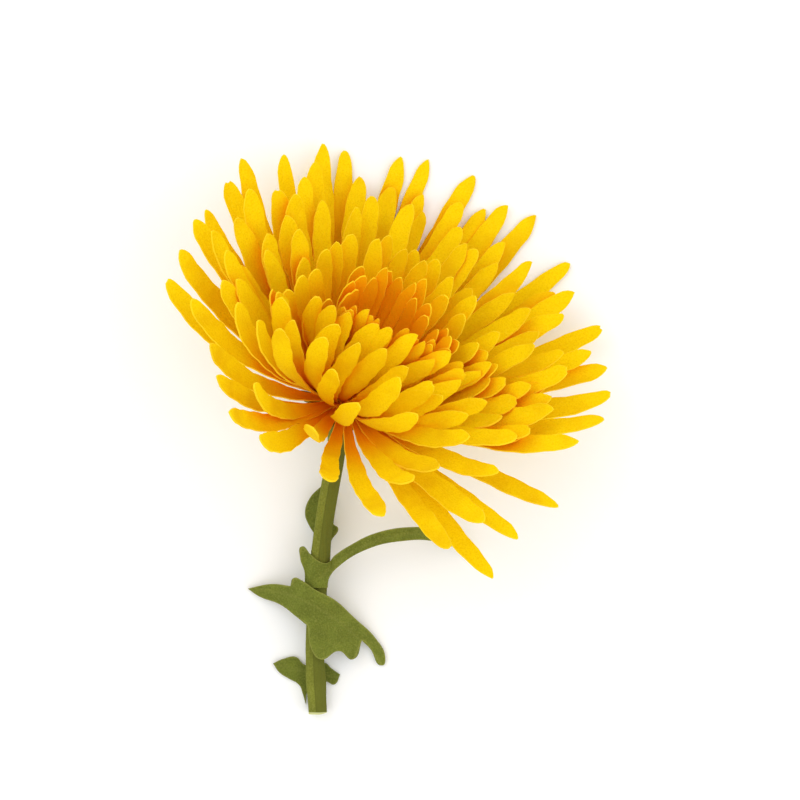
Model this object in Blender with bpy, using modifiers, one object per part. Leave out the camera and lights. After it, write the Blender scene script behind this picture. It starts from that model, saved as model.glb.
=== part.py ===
"""A spider chrysanthemum: one cut flower that lies on a surface.

Metres, +Z up. The surface is z = 0, and the origin is under the middle of the flower.
The bloom's axis rises from the surface and leans towards +Y; the cut end of the stem
points to -Y. The lowest florets bend along the surface.
"""
import math
import random

import bmesh
import bpy
from mathutils import Matrix, Vector

OBJECT_NAME = "spider_chrysanthemum"
MM = 0.001
GOLDEN_ANGLE = math.radians(137.508)
FIT_GAP = 0.3 * MM              # between pieces that touch
CENTRE = Vector((-2.59, -0.12, 0.0)) * MM   # from the drawing's zero to the middle of the flower

# The bloom's place: the middle of its underside, and its axis
HEAD_BASE = Vector((-15.0, 8.9, 16.9)) * MM
HEAD_ELEVATION = math.radians(43.0)     # raised from the surface
HEAD_TURN = math.radians(27.0)          # from +Y towards +X

# Ray florets, from the innermost to the outermost
FLORET_COUNT = 138
FLORET_SEED = 5
FIRST_AZIMUTH = math.radians(279.0)
FLORET_STATIONS = (0.0, 0.2, 0.45, 0.7, 0.9, 0.99)      # shares of the length that get a section
ROOT_RADIUS = (4.0 * MM, 6.4 * MM)
ROOT_HEIGHT = 6.0 * MM                  # of the innermost; the outermost start at 0
ROOT_HEIGHT_POWER = 1.3
TIERS = 4                               # rows that the tips stand in
TIER_SLOPE = 0.35                       # how much florets of a tier still differ
FLORET_LENGTH = (31.0 * MM, 75.0 * MM)
LENGTH_POWER = 1.8                      # how quickly the length grows from tier to tier
LENGTH_SPREAD = 0.05
LENGTH_SWAY = 0.06                      # the back florets are a little longer
LENGTH_AZIMUTH = math.radians(290.0)
FLORET_WIDTH = (3.0 * MM, 6.0 * MM)
FLORET_EXTRA_WIDTH = 1.0 * MM           # of the middle tiers
WIDTH_POWER = 0.5
WIDTH_SPREAD = 0.1
FLORET_THICKNESS = 1.1 * MM             # along its keel
ROOT_LEAN = (5.0, 82.0)                 # degrees from the axis, where it starts
ROOT_LEAN_POWER = 0.45
ROOT_LEAN_SPREAD = 3.0
TIP_LEAN = (-30.0, 46.0)                # degrees from the axis, at its tip
TIP_LEAN_POWER = 0.45
TIP_LEAN_SPREAD = 8.0
SIDE_SPREAD = 0.07                      # radians that a tip strays round the axis
TWIST_SPREAD = 0.2                      # radians that a tip twists
ROLL_POWER = 0.7                        # how the roll grows along a floret
FACE_TURN = 0.7                         # how strongly a floret rolls to face the light above
FACE_LEAST = 0.05                       # keeps a floret that stands edge-on from dividing by zero
FACE_PLACE = 0.6                        # share of the length where its face is judged
FRONT_AZIMUTH = math.radians(74.0)      # middle of the florets that close over the hollow
FRONT_NARROWNESS = 1.0
FRONT_REACH = 0.85                      # tiers beyond this share don't close
FRONT_EASE = 0.9
FRONT_PUSH = 43.0                       # degrees that they are pushed to the back
PUSH_TURN = math.radians(24.0)          # from the back to the right
PUSH_AT_ROOT, PUSH_AT_TIP = 0.6, 1.4    # how the push is shared along a floret
FRONT_LENGTH = (0.25, -0.45)            # what they have more, from the inner to the outer
LOP = 4.0                               # degrees that the outer florets lop to the right
LOP_POWER = 2.0
LOP_AZIMUTH = math.radians(20.0)
SAG = 20.0                              # degrees that a few outer florets hang lower
SAG_POWER = 2.5
SAG_AZIMUTH = math.radians(35.0)
SAG_NARROWNESS = 11
SAG_AT_ROOT, SAG_AT_TIP = 0.1, 1.9      # how the sag is shared along a floret
CHANNEL = 0.26                          # keel's depth as a share of half the width
ROOT_WIDTH = 0.32                       # a floret's width at its root, as a share of the full one
FULL_WIDTH_AT = 0.72                    # where along a floret its full width is reached
WIDENING_POWER = 1.2
TIP_BLUNTNESS = 2.6
FLOOR_SOFTNESS = 1.2 * MM               # how gently a floret bends along the surface
FLOOR_PRESS = 0.05 * MM               # brings the lowest florets down onto it
STRAIGHT = 0.02                         # least bend of an arc, so that nothing is divided by zero

# Receptacle inside the florets, turned about the axis: radius, height
CORE_PROFILE = (
    (0.0, 8.2), (4.1, 8.2), (5.6, 7.4), (7.1, 5.2),
    (8.0, 2.4), (8.1, 0.2), (7.5, -1.0), (0.0, -1.0),
)
CORE_SIDES = 20

# Disc florets on their own small dome
DISC_PROFILE = ((0.0, 2.0), (1.6, 1.7), (2.7, 0.9), (3.1, 0.0), (0.0, 0.0))
DISC_BASE = 8.2 * MM + FIT_GAP
DISC_COUNT = 22
DISC_RADIUS = 2.4 * MM
DISC_FLORET_HEIGHT = (6.0 * MM, 10.0 * MM)
DISC_FLORET_RADIUS = (0.42 * MM, 0.62 * MM)
DISC_FLORET_SIDES = 5
DISC_FLORET_PLACE = (1.8 * MM, 1.0 * MM)    # height of its foot, in the middle and at the rim
DISC_SPREAD = math.radians(10.0)
DISC_SINK = 0.8 * MM
DOME_SIDES = 15

# Involucre: the green cup and its bracts
CUP_PROFILE = (
    (0.0, -1.3), (7.2, -1.3), (7.4, -2.1), (6.6, -4.2), (4.6, -6.2), (2.9, -7.0), (0.0, -7.0),
)
CUP_SIDES = 20
CUP_BOTTOM = -7.0 * MM
BRACT_ROWS = (                          # radius, height, length, width, root lean, tip lean
    (4.3, -5.5, 6.5, 2.3, 48.0, 70.0),
    (5.4, -4.6, 7.5, 2.6, 56.0, 80.0),
    (6.2, -3.4, 8.5, 2.8, 64.0, 88.0),
)
BRACTS_IN_A_ROW = 13
BRACT_STATIONS = (0.0, 0.45, 0.97)
BRACT_THICKNESS = 0.8 * MM
BRACT_POINTEDNESS = 0.7

# Stem: its middle line from the cut end up to the neck
STEM_RADIUS = 2.6 * MM
STEM_ROUTE = (
    (-23.4, -80.3, 2.58), (-24.0, -69.0, 4.1), (-24.2, -60.1, 5.1), (-23.5, -47.1, 6.3),
    (-22.4, -33.8, 7.3), (-21.3, -24.9, 8.0), (-19.9, -16.6, 8.6), (-18.5, -8.9, 9.1),
    (-17.9, -3.4, 9.4),
)
NECK_LENGTH = 2.7 * MM                  # straight along the bloom's axis under the cup
STEM_STEPS = 3                          # sections between two points of the route
STEM_RIBS = 5
RIB_SHARE = 0.05                        # a rib's height as a share of the radius
RIB_SIDES = 15
NODE_PLACES = (-71.0 * MM, -37.5 * MM)  # y of the two nodes that carry leaves
NODE_SWELL = 0.10
NODE_SPREAD = 4.0 * MM

# Leaves, drawn as they are seen from above
LEAF_THICKNESS = 0.9 * MM
LEAF_CELL = 3.2 * MM
LEAF_REST = LEAF_THICKNESS / 2 + 0.03 * MM      # a leaf's mid-surface where it lies flat
LOBED_CLEARANCE = 2.0 * MM              # between the stem and the lobed leaf's mid-surface
LOBED_SADDLE = 11.0 * MM                # how wide it stays raised to either side of the stem
SHEATH_CLEARANCE = 0.6 * MM
SHEATH_MARGIN = 0.9 * MM                # how far the sheath reaches past the stem's side
SHEATH_FLATNESS = 0.12                  # where the sheath stops bending down
ARCH_SPAN = 41.0 * MM
ARCH_RISE, ARCH_DROP = 5.0 * MM, 7.2 * MM
BEHIND_CLEARANCE = 0.85 * MM
BEHIND_BEND = 20.0                      # 1/m: how its sides fall away
LOWER_CURL = 0.4 * MM                   # its tips' rise at LOWER_SPAN from the stem
LOWER_SPAN = 10.0 * MM
OUTLINE_STEPS = 3
OUTLINE_REACH = 30.0 * MM               # half the height of an outline's block
SMOOTH, CORNER = "AUTO", "VECTOR"
LOBED_OUTLINE = (
    (-43.2, -45.2, CORNER), (-36.3, -43.8, SMOOTH), (-31.0, -44.2, CORNER), (-30.0, -41.9, SMOOTH),
    (-27.4, -42.7, SMOOTH), (-24.1, -44.9, SMOOTH), (-18.6, -47.9, SMOOTH), (-12.7, -53.5, SMOOTH),
    (-6.9, -59.3, SMOOTH), (-4.2, -64.5, SMOOTH), (-5.0, -67.0, SMOOTH), (-8.4, -62.3, SMOOTH),
    (-10.8, -59.8, CORNER),
    (-13.3, -65.1, SMOOTH), (-17.2, -62.6, SMOOTH), (-22.4, -64.8, SMOOTH), (-25.2, -61.2, SMOOTH),
    (-25.9, -55.4, CORNER), (-29.1, -52.9, SMOOTH), (-33.8, -49.6, SMOOTH), (-39.9, -47.4, SMOOTH),
)
ARCHING_OUTLINE = (
    (-27.8, -33.0, SMOOTH), (-25.2, -35.2, SMOOTH), (-22.9, -37.0, SMOOTH), (-20.5, -37.6, SMOOTH),
    (-18.5, -35.6, SMOOTH), (-13.9, -32.5, SMOOTH), (-6.9, -29.1, SMOOTH), (3.6, -27.4, SMOOTH),
    (11.6, -28.3, SMOOTH), (17.2, -31.0, SMOOTH), (21.2, -34.9, CORNER), (15.8, -33.4, SMOOTH),
    (8.3, -31.3, SMOOTH), (1.4, -31.3, SMOOTH), (-8.3, -33.3, SMOOTH), (-17.5, -38.8, SMOOTH),
    (-20.0, -42.0, SMOOTH), (-20.4, -44.6, CORNER), (-27.0, -44.6, CORNER), (-26.9, -40.4, SMOOTH),
    (-28.2, -36.0, SMOOTH),
)
BEHIND_OUTLINE = (
    (-21.6, -15.5, CORNER), (-25.5, -19.4, SMOOTH), (-26.9, -23.8, SMOOTH), (-25.9, -26.9, SMOOTH),
    (-24.4, -29.4, SMOOTH), (-22.7, -32.7, SMOOTH), (-21.9, -36.0, CORNER), (-20.0, -36.0, CORNER),
    (-20.1, -33.5, SMOOTH), (-19.3, -31.3, SMOOTH), (-17.5, -28.0, SMOOTH), (-19.0, -26.6, SMOOTH),
    (-18.9, -23.0, SMOOTH), (-18.7, -19.0, SMOOTH),
)
LOWER_OUTLINE = (
    (-36.0, -66.4, CORNER), (-32.7, -65.0, SMOOTH), (-29.6, -64.6, SMOOTH), (-27.2, -66.8, SMOOTH),
    (-24.4, -67.2, SMOOTH), (-21.3, -66.3, SMOOTH), (-19.4, -67.9, SMOOTH), (-17.0, -69.6, CORNER),
    (-18.6, -72.4, SMOOTH), (-21.0, -71.6, SMOOTH), (-23.6, -72.2, SMOOTH), (-26.2, -74.2, SMOOTH),
    (-26.8, -78.0, CORNER), (-27.6, -75.0, SMOOTH), (-28.6, -72.6, SMOOTH), (-31.8, -70.6, SMOOTH),
    (-34.2, -69.0, SMOOTH),
)

# Finishes: colour, roughness
FINISHES = {
    "petal_yellow": ((0.90, 0.47, 0.010), 0.85),
    "disc_orange": ((0.66, 0.17, 0.006), 0.85),
    "bract_green": ((0.15, 0.17, 0.030), 0.75),
    "stem_green": ((0.20, 0.21, 0.035), 0.75),
    "leaf_green": ((0.16, 0.175, 0.030), 0.75),
}


def clear_scene():
    for item in list(bpy.data.objects):
        bpy.data.objects.remove(item, do_unlink=True)


def new_collection(name, parent=None):
    collection = bpy.data.collections.new(name)
    (parent or bpy.context.scene.collection).children.link(collection)
    return collection


def make_material(name):
    colour, roughness = FINISHES[name]
    material = bpy.data.materials.new(name)
    material.use_nodes = True
    shader = material.node_tree.nodes["Principled BSDF"]
    shader.inputs["Base Color"].default_value = (*colour, 1.0)
    shader.inputs["Roughness"].default_value = roughness
    shader.inputs["Metallic"].default_value = 0.0
    return material


def new_object(name, mesh, collection):
    item = bpy.data.objects.new(name, mesh)
    collection.objects.link(item)
    return item


def mesh_object(name, bm, collection):
    """Close a bmesh into an object whose faces point out."""
    bmesh.ops.recalc_face_normals(bm, faces=bm.faces)
    mesh = bpy.data.meshes.new(name)
    bm.to_mesh(mesh)
    bm.free()
    return new_object(name, mesh, collection)


def evaluated_mesh(item):
    depsgraph = bpy.context.evaluated_depsgraph_get()
    return bpy.data.meshes.new_from_object(item.evaluated_get(depsgraph))


def apply_modifiers(item):
    mesh = evaluated_mesh(item)
    item.modifiers.clear()
    item.data = mesh


def welded_copy(source, name, collection):
    """The evaluated shape of a curve or a mesh, closed at its caps and poles, in its place."""
    bm = bmesh.new()
    bm.from_mesh(evaluated_mesh(source))
    bmesh.ops.remove_doubles(bm, verts=bm.verts, dist=0.001 * MM)
    item = mesh_object(name, bm, collection)
    item.matrix_world = source.matrix_world
    bpy.data.objects.remove(source, do_unlink=True)
    return item


def turned(name, profile, sides, collection):
    """Turn a profile of radius and height, given in millimetres from top to bottom."""
    mesh = bpy.data.meshes.new(name)
    points = [(radius * MM, 0.0, height * MM) for radius, height in profile]
    mesh.from_pydata(points, [(i, i + 1) for i in range(len(points) - 1)], [])
    item = new_object(name + "_profile", mesh, collection)
    screw = item.modifiers.new("turn", "SCREW")
    screw.steps = sides
    screw.render_steps = sides
    screw.use_merge_vertices = True
    screw.merge_threshold = 0.01 * MM
    return welded_copy(item, name, collection)


def keep_largest_body(item):
    """Drop the loose scraps of a cut, and fill the small hollows that a union seals."""
    bm = bmesh.new()
    bm.from_mesh(item.data)
    waiting = set(bm.verts)
    bodies = []
    while waiting:
        body = set()
        front = [waiting.pop()]
        while front:
            vert = front.pop()
            body.add(vert)
            near = [edge.other_vert(vert) for edge in vert.link_edges]
            front += [other for other in near if other in waiting]
            waiting -= set(near)
        bodies.append(body)
    bodies.sort(key=len)
    scraps = [vert for body in bodies[:-1] for vert in body]
    bmesh.ops.delete(bm, geom=scraps, context="VERTS")
    bm.to_mesh(item.data)
    bm.free()


def fuse(item, repeats, name, collection):
    """Join a collection's objects to one piece by a single union, and remove them."""
    union = item.modifiers.new("join", "BOOLEAN")
    union.operation = "UNION"
    union.operand_type = "COLLECTION"
    union.collection = repeats
    union.solver = "EXACT"
    apply_modifiers(item)
    for part in list(repeats.objects):
        bpy.data.objects.remove(part, do_unlink=True)
    item.name = name
    item.data.name = name
    keep_largest_body(item)
    return item


def head_frame():
    """The bloom's own frame: X to its right, Y towards its back, Z along its axis."""
    flat = math.cos(HEAD_ELEVATION)
    axis = Vector((math.sin(HEAD_TURN) * flat, math.cos(HEAD_TURN) * flat, math.sin(HEAD_ELEVATION)))
    right = Vector((math.cos(HEAD_TURN), -math.sin(HEAD_TURN), 0.0))
    back = axis.cross(right)
    frame = Matrix((right, back, axis)).transposed().to_4x4()
    frame.translation = HEAD_BASE
    return frame


def grade(first, last, share, power):
    return first + (last - first) * share ** power


def leaning(azimuth, lean, push=0.0):
    """A direction of the bloom that leans away from its axis and is pushed to its back."""
    right = math.cos(azimuth) * lean + math.sin(PUSH_TURN) * push
    back = math.cos(PUSH_TURN) * push - math.sin(azimuth) * lean
    angle = math.radians(math.hypot(right, back))
    flat = math.radians(math.sin(angle) / max(angle, STRAIGHT))
    return Vector((right * flat, back * flat, math.cos(angle)))


class Arc:
    """A floret or bract: a circular arc from one direction of the bloom to another.

    Its azimuth is counted from the bloom's right towards its front.
    """

    def __init__(self, azimuth, radius, height, length, width, start, finish):
        frame = head_frame()
        turn = frame.to_3x3()
        outward = Vector((math.cos(azimuth), -math.sin(azimuth), 0.0))
        self.root = frame @ (outward * radius + Vector((0.0, 0.0, height)))
        self.around = turn @ Vector((-math.sin(azimuth), -math.cos(azimuth), 0.0))
        self.start = turn @ start
        self.finish = turn @ finish
        self.turn = max(start.angle(finish), STRAIGHT)
        self.length = length
        self.width = width
        self.roll = 0.0

    def section(self, share):
        """Middle, across and facing directions at a share of the arc's length."""
        early, late = self.turn * (1 - share), self.turn * share
        run = self.start * (math.cos(early) - math.cos(self.turn)) + self.finish * (1 - math.cos(late))
        middle = self.root + run * (self.length / (self.turn * math.sin(self.turn)))
        along = (self.start * math.sin(early) + self.finish * math.sin(late)).normalized()
        level = (self.around - along * self.around.dot(along)).normalized()
        face = level.cross(along)
        roll = self.roll * share ** ROLL_POWER
        across = level * math.cos(roll) + face * math.sin(roll)
        facing = face * math.cos(roll) - level * math.sin(roll)
        return middle, across, facing


def roll_to_light(arc):
    """The roll that turns a floret's face, inner or outer, towards the light above."""
    _, across, facing = arc.section(FACE_PLACE)
    face = math.copysign(max(abs(facing.z), FACE_LEAST), facing.z)
    return -FACE_TURN * math.atan(across.z / face)


def tier_of(share):
    """Florets of a tier are nearly alike, so their tips stand in rows."""
    place = share * TIERS
    middle = math.floor(place) + 0.5
    return (middle + TIER_SLOPE * (place - middle)) / TIERS


def floret_arc(index, draw):
    """The rule that places floret number index, counted from the middle of the bloom."""
    share = (index + 0.5) / FLORET_COUNT
    tier = tier_of(share)
    azimuth = FIRST_AZIMUTH + index * GOLDEN_ANGLE
    length = grade(*FLORET_LENGTH, tier, LENGTH_POWER)
    length *= 1 + draw.uniform(-LENGTH_SPREAD, LENGTH_SPREAD)
    length *= 1 + LENGTH_SWAY * math.cos(azimuth - LENGTH_AZIMUTH)
    width = grade(*FLORET_WIDTH, share, WIDTH_POWER) + FLORET_EXTRA_WIDTH * math.sin(math.pi * share)
    width *= 1 + draw.uniform(-WIDTH_SPREAD, WIDTH_SPREAD)
    root_lean = grade(*ROOT_LEAN, tier, ROOT_LEAN_POWER)
    root_lean += draw.uniform(-ROOT_LEAN_SPREAD, ROOT_LEAN_SPREAD)
    tip_lean = grade(*TIP_LEAN, tier, TIP_LEAN_POWER)
    tip_lean += draw.uniform(-TIP_LEAN_SPREAD, TIP_LEAN_SPREAD)
    side = draw.uniform(-SIDE_SPREAD, SIDE_SPREAD)
    twist = draw.uniform(-TWIST_SPREAD, TWIST_SPREAD)
    lop = LOP * share ** LOP_POWER * math.cos(azimuth - LOP_AZIMUTH)
    hanging = max(0.0, math.cos(azimuth - SAG_AZIMUTH)) ** SAG_NARROWNESS
    sag = SAG * share ** SAG_POWER * hanging
    front = math.sin(math.pi * min(1.0, tier / FRONT_REACH)) ** FRONT_EASE
    front *= max(0.0, math.cos(azimuth - FRONT_AZIMUTH)) ** FRONT_NARROWNESS
    push = FRONT_PUSH * front
    length *= 1 + grade(*FRONT_LENGTH, tier, 1.0) * front
    start = leaning(azimuth, root_lean + lop + SAG_AT_ROOT * sag, PUSH_AT_ROOT * push)
    finish = leaning(azimuth + side, tip_lean + lop + SAG_AT_TIP * sag, PUSH_AT_TIP * push)
    inner, outer = ROOT_RADIUS
    radius = math.sqrt(inner ** 2 + (outer ** 2 - inner ** 2) * share)
    height = grade(ROOT_HEIGHT, 0.0, share, ROOT_HEIGHT_POWER)
    arc = Arc(azimuth, radius, height, length, width, start, finish)
    arc.roll = twist + roll_to_light(arc)
    return arc


def floret_width(share):
    """Width at a share of the length: a narrow root, a broad upper part and a round tip."""
    widening = math.sin(min(1.0, share / FULL_WIDTH_AT) * math.pi / 2)
    beyond = max(0.0, (share - FULL_WIDTH_AT) / (1 - FULL_WIDTH_AT))
    return grade(ROOT_WIDTH, 1.0, widening, WIDENING_POWER) * math.sqrt(1 - beyond ** TIP_BLUNTNESS)


def bract_width(share):
    return (1 - share ** 2) ** BRACT_POINTEDNESS


def lift_from_floor(lowest):
    """How far a section is raised so that it bends along the surface."""
    return (lowest + math.sqrt(lowest ** 2 + FLOOR_SOFTNESS ** 2)) / 2 - lowest - FLOOR_PRESS


def add_blade(name, arc, stations, width_rule, thickness, collection):
    """A blade lofted through four-cornered sections: edge, top, edge, keel."""
    bm = bmesh.new()
    rings = []
    for share in stations:
        middle, across, facing = arc.section(share)
        half = arc.width / 2 * width_rule(share)
        lowest = middle.z - half * (abs(across.z) + CHANNEL) - thickness / 2
        middle = middle + Vector((0.0, 0.0, lift_from_floor(lowest)))
        rise = facing * half * CHANNEL
        keel = facing * thickness / 2
        corners = (middle - across * half + rise, middle - rise + keel,
                   middle + across * half + rise, middle - rise - keel)
        rings.append([bm.verts.new(corner) for corner in corners])
    bm.faces.new(rings[0])
    bm.faces.new(rings[-1])
    for lower, upper in zip(rings, rings[1:]):
        for corner in range(4):
            after = (corner + 1) % 4
            bm.faces.new((lower[corner], lower[after], upper[after], upper[corner]))
    bmesh.ops.triangulate(bm, faces=bm.faces)
    return mesh_object(name, bm, collection)


def make_ray_florets(parts, cutters):
    repeats = new_collection("florets_to_join", cutters)
    draw = random.Random(FLORET_SEED)
    for index in range(FLORET_COUNT):
        arc = floret_arc(index, draw)
        add_blade(f"floret_{index:03d}", arc, FLORET_STATIONS, floret_width, FLORET_THICKNESS, repeats)
    core = turned("receptacle", CORE_PROFILE, CORE_SIDES, parts)
    core.matrix_world = head_frame()
    bpy.context.view_layer.update()
    return fuse(core, repeats, "ray_florets", parts)


def make_disc_florets(parts, cutters):
    repeats = new_collection("disc_to_join", cutters)
    base = head_frame() @ Matrix.Translation((0.0, 0.0, DISC_BASE))
    foot_radius, top_radius = DISC_FLORET_RADIUS
    for index in range(DISC_COUNT):
        share = (index + 0.5) / DISC_COUNT
        azimuth = index * GOLDEN_ANGLE
        height = grade(*DISC_FLORET_HEIGHT, share, 1.0)
        bm = bmesh.new()
        bmesh.ops.create_cone(bm, cap_ends=True, segments=DISC_FLORET_SIDES,
                              radius1=foot_radius, radius2=top_radius, depth=height)
        bmesh.ops.translate(bm, verts=bm.verts, vec=(0.0, 0.0, height / 2 - DISC_SINK))
        floret = mesh_object(f"disc_floret_{index:02d}", bm, repeats)
        radius = DISC_RADIUS * math.sqrt(share)
        place = Vector((radius, 0.0, grade(*DISC_FLORET_PLACE, share, 1.0)))
        lean = Matrix.Rotation(DISC_SPREAD * share, 4, "Y")
        floret.matrix_world = base @ Matrix.Rotation(azimuth, 4, "Z") @ Matrix.Translation(place) @ lean
    dome = turned("disc_dome", DISC_PROFILE, DOME_SIDES, parts)
    dome.matrix_world = base
    bpy.context.view_layer.update()
    return fuse(dome, repeats, "disc_florets", parts)


def make_involucre(parts, cutters):
    repeats = new_collection("bracts_to_join", cutters)
    for row, (radius, height, length, width, root_lean, tip_lean) in enumerate(BRACT_ROWS):
        for index in range(BRACTS_IN_A_ROW):
            azimuth = (index + row / len(BRACT_ROWS)) * math.tau / BRACTS_IN_A_ROW
            arc = Arc(azimuth, radius * MM, height * MM, length * MM, width * MM,
                      leaning(azimuth, root_lean), leaning(azimuth, tip_lean))
            add_blade(f"bract_{row}_{index:02d}", arc, BRACT_STATIONS, bract_width,
                      BRACT_THICKNESS, repeats)
    cup = turned("cup", CUP_PROFILE, CUP_SIDES, parts)
    cup.matrix_world = head_frame()
    bpy.context.view_layer.update()
    return fuse(cup, repeats, "involucre", parts)


def catmull_rom(points, steps):
    """A smooth line through points, with its ends continued straight."""
    before = points[0] * 2 - points[1]
    after = points[-1] * 2 - points[-2]
    guide = [before, *points, after]
    line = []
    for a, b, c, d in zip(guide, guide[1:], guide[2:], guide[3:]):
        for step in range(steps):
            t = step / steps
            line.append(0.5 * (2 * b + (c - a) * t + (2 * a - 5 * b + 4 * c - d) * t ** 2
                               + (3 * b - a - 3 * c + d) * t ** 3))
    line.append(points[-1])
    return line


def stem_line():
    frame = head_frame()
    neck_end = frame @ Vector((0.0, 0.0, CUP_BOTTOM - FIT_GAP))
    neck_start = frame @ Vector((0.0, 0.0, CUP_BOTTOM - FIT_GAP - NECK_LENGTH))
    route = [Vector(point) * MM for point in STEM_ROUTE]
    return [*catmull_rom([*route, neck_start], STEM_STEPS), neck_end]


def stem_at(y, line):
    """The stem's middle at a given y, as x and z."""
    for lower, upper in zip(line, line[1:]):
        if lower.y <= y <= upper.y:
            place = lower.lerp(upper, (y - lower.y) / (upper.y - lower.y))
            return place.x, place.z
    nearest = line[0] if y < line[0].y else line[-1]
    return nearest.x, nearest.z


def stem_tube(name, growth, collection):
    """The ribbed stem, grown outwards by a margin on every side."""
    ring = bpy.data.curves.new(name + "_profile", "CURVE")
    ring.dimensions = "2D"
    spline = ring.splines.new("POLY")
    spline.points.add(RIB_SIDES - 1)
    spline.use_cyclic_u = True
    for index, point in enumerate(spline.points):
        angle = index * math.tau / RIB_SIDES
        radius = STEM_RADIUS * (1 + RIB_SHARE * math.cos(STEM_RIBS * angle)) + growth
        point.co = (radius * math.cos(angle), radius * math.sin(angle), 0.0, 1.0)
    profile = new_object(name + "_profile", ring, collection)
    curve = bpy.data.curves.new(name, "CURVE")
    curve.dimensions = "3D"
    curve.bevel_mode = "OBJECT"
    curve.bevel_object = profile
    curve.use_fill_caps = True
    line = stem_line()
    spline = curve.splines.new("POLY")
    spline.points.add(len(line) - 1)
    for point, place in zip(spline.points, line):
        swell = sum(math.exp(-((place.y - node) / NODE_SPREAD) ** 2) for node in NODE_PLACES)
        point.co = (*place, 1.0)
        point.radius = 1 + NODE_SWELL * swell
    tube = welded_copy(new_object(name + "_route", curve, collection), name, collection)
    bpy.data.objects.remove(profile, do_unlink=True)
    return tube


def make_stem(parts):
    return stem_tube("stem", 0.0, parts)


def lobed_height(x, y, line):
    """The lobed leaf lies over the stem like a saddle and comes down on both sides."""
    stem_x, stem_z = stem_at(y, line)
    ridge = stem_z + STEM_RADIUS + LOBED_CLEARANCE
    return LEAF_REST + (ridge - LEAF_REST) * math.exp(-((x - stem_x) / LOBED_SADDLE) ** 2)


def arching_height(x, y, line):
    """The sheath hugs the stem's upper side, and the blade arches over to the right."""
    stem_x, stem_z = stem_at(y, line)
    aside = x - stem_x
    roundness = max(SHEATH_FLATNESS, 1 - (aside / (STEM_RADIUS + SHEATH_MARGIN)) ** 2)
    sheath = stem_z + (STEM_RADIUS + SHEATH_CLEARANCE) * math.sqrt(roundness)
    share = min(1.0, max(0.0, (aside - STEM_RADIUS) / ARCH_SPAN))
    return sheath + ARCH_RISE * math.sin(math.pi * share) - ARCH_DROP * share ** 2


def behind_height(x, y, line):
    """The small leaf hangs just under the stem, with its sides a little lower."""
    stem_x, stem_z = stem_at(y, line)
    underside = stem_z - STEM_RADIUS * (1 + NODE_SWELL)
    return underside - BEHIND_CLEARANCE - BEHIND_BEND * (x - stem_x) ** 2


def lower_height(x, y, line):
    """The lower leaf lies on the surface, with its tips a little raised."""
    stem_x, stem_z = stem_at(y, line)
    return LEAF_REST + LOWER_CURL * ((x - stem_x) / LOWER_SPAN) ** 4


def outline_cutter(name, outline, collection):
    """A leaf's outline as a tall upright block."""
    curve = bpy.data.curves.new(name, "CURVE")
    curve.dimensions = "2D"
    curve.fill_mode = "BOTH"
    curve.extrude = OUTLINE_REACH
    curve.resolution_u = OUTLINE_STEPS
    spline = curve.splines.new("BEZIER")
    spline.bezier_points.add(len(outline) - 1)
    spline.use_cyclic_u = True
    for point, (x, y, kind) in zip(spline.bezier_points, outline):
        point.co = (x * MM, y * MM, 0.0)
        point.handle_left_type = kind
        point.handle_right_type = kind
    return welded_copy(new_object(name + "_curve", curve, collection), name, collection)


def add_boolean(item, operation, cutter):
    boolean = item.modifiers.new(operation.lower(), "BOOLEAN")
    boolean.operation = operation
    boolean.object = cutter
    boolean.solver = "MANIFOLD"


def make_leaf(name, outline, height_rule, parts, cutters, stem_cutter):
    """A sheet that follows its height rule, cut to its outline and clear of the stem."""
    line = stem_line()
    margin = LEAF_CELL
    low_x = min(point[0] for point in outline) * MM - margin
    high_x = max(point[0] for point in outline) * MM + margin
    low_y = min(point[1] for point in outline) * MM - margin
    high_y = max(point[1] for point in outline) * MM + margin
    cells_x = math.ceil((high_x - low_x) / LEAF_CELL)
    cells_y = math.ceil((high_y - low_y) / LEAF_CELL)
    bm = bmesh.new()
    bmesh.ops.create_grid(bm, x_segments=cells_x, y_segments=cells_y, size=0.5)
    for vert in bm.verts:
        vert.co.x = (low_x + high_x) / 2 + vert.co.x * (high_x - low_x)
        vert.co.y = (low_y + high_y) / 2 + vert.co.y * (high_y - low_y)
        vert.co.z = height_rule(vert.co.x, vert.co.y, line)
    bmesh.ops.triangulate(bm, faces=bm.faces)
    leaf = mesh_object(name, bm, parts)
    wall = leaf.modifiers.new("wall", "SOLIDIFY")
    wall.thickness = LEAF_THICKNESS
    wall.offset = 0.0
    add_boolean(leaf, "INTERSECT", outline_cutter(name + "_outline", outline, cutters))
    add_boolean(leaf, "DIFFERENCE", stem_cutter)
    apply_modifiers(leaf)
    keep_largest_body(leaf)
    return leaf


def hide_cutters(cutters):
    for item in cutters.all_objects:
        item.hide_render = True
        item.display_type = "WIRE"


def main():
    clear_scene()
    parts = new_collection(OBJECT_NAME)
    cutters = new_collection(OBJECT_NAME + "_cutters")
    materials = {name: make_material(name) for name in FINISHES}
    built = [
        (make_ray_florets(parts, cutters), "petal_yellow"),
        (make_disc_florets(parts, cutters), "disc_orange"),
        (make_involucre(parts, cutters), "bract_green"),
        (make_stem(parts), "stem_green"),
    ]
    stem_cutter = stem_tube("stem_cutter", FIT_GAP, cutters)
    leaves = (
        ("leaf_lobed", LOBED_OUTLINE, lobed_height),
        ("leaf_arching", ARCHING_OUTLINE, arching_height),
        ("leaf_behind", BEHIND_OUTLINE, behind_height),
        ("leaf_lower", LOWER_OUTLINE, lower_height),
    )
    for name, outline, height_rule in leaves:
        leaf = make_leaf(name, outline, height_rule, parts, cutters, stem_cutter)
        built.append((leaf, "leaf_green"))
    for item, finish in built:
        item.data.materials.clear()
        item.data.materials.append(materials[finish])
        item.location -= CENTRE
    hide_cutters(cutters)


main()
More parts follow.
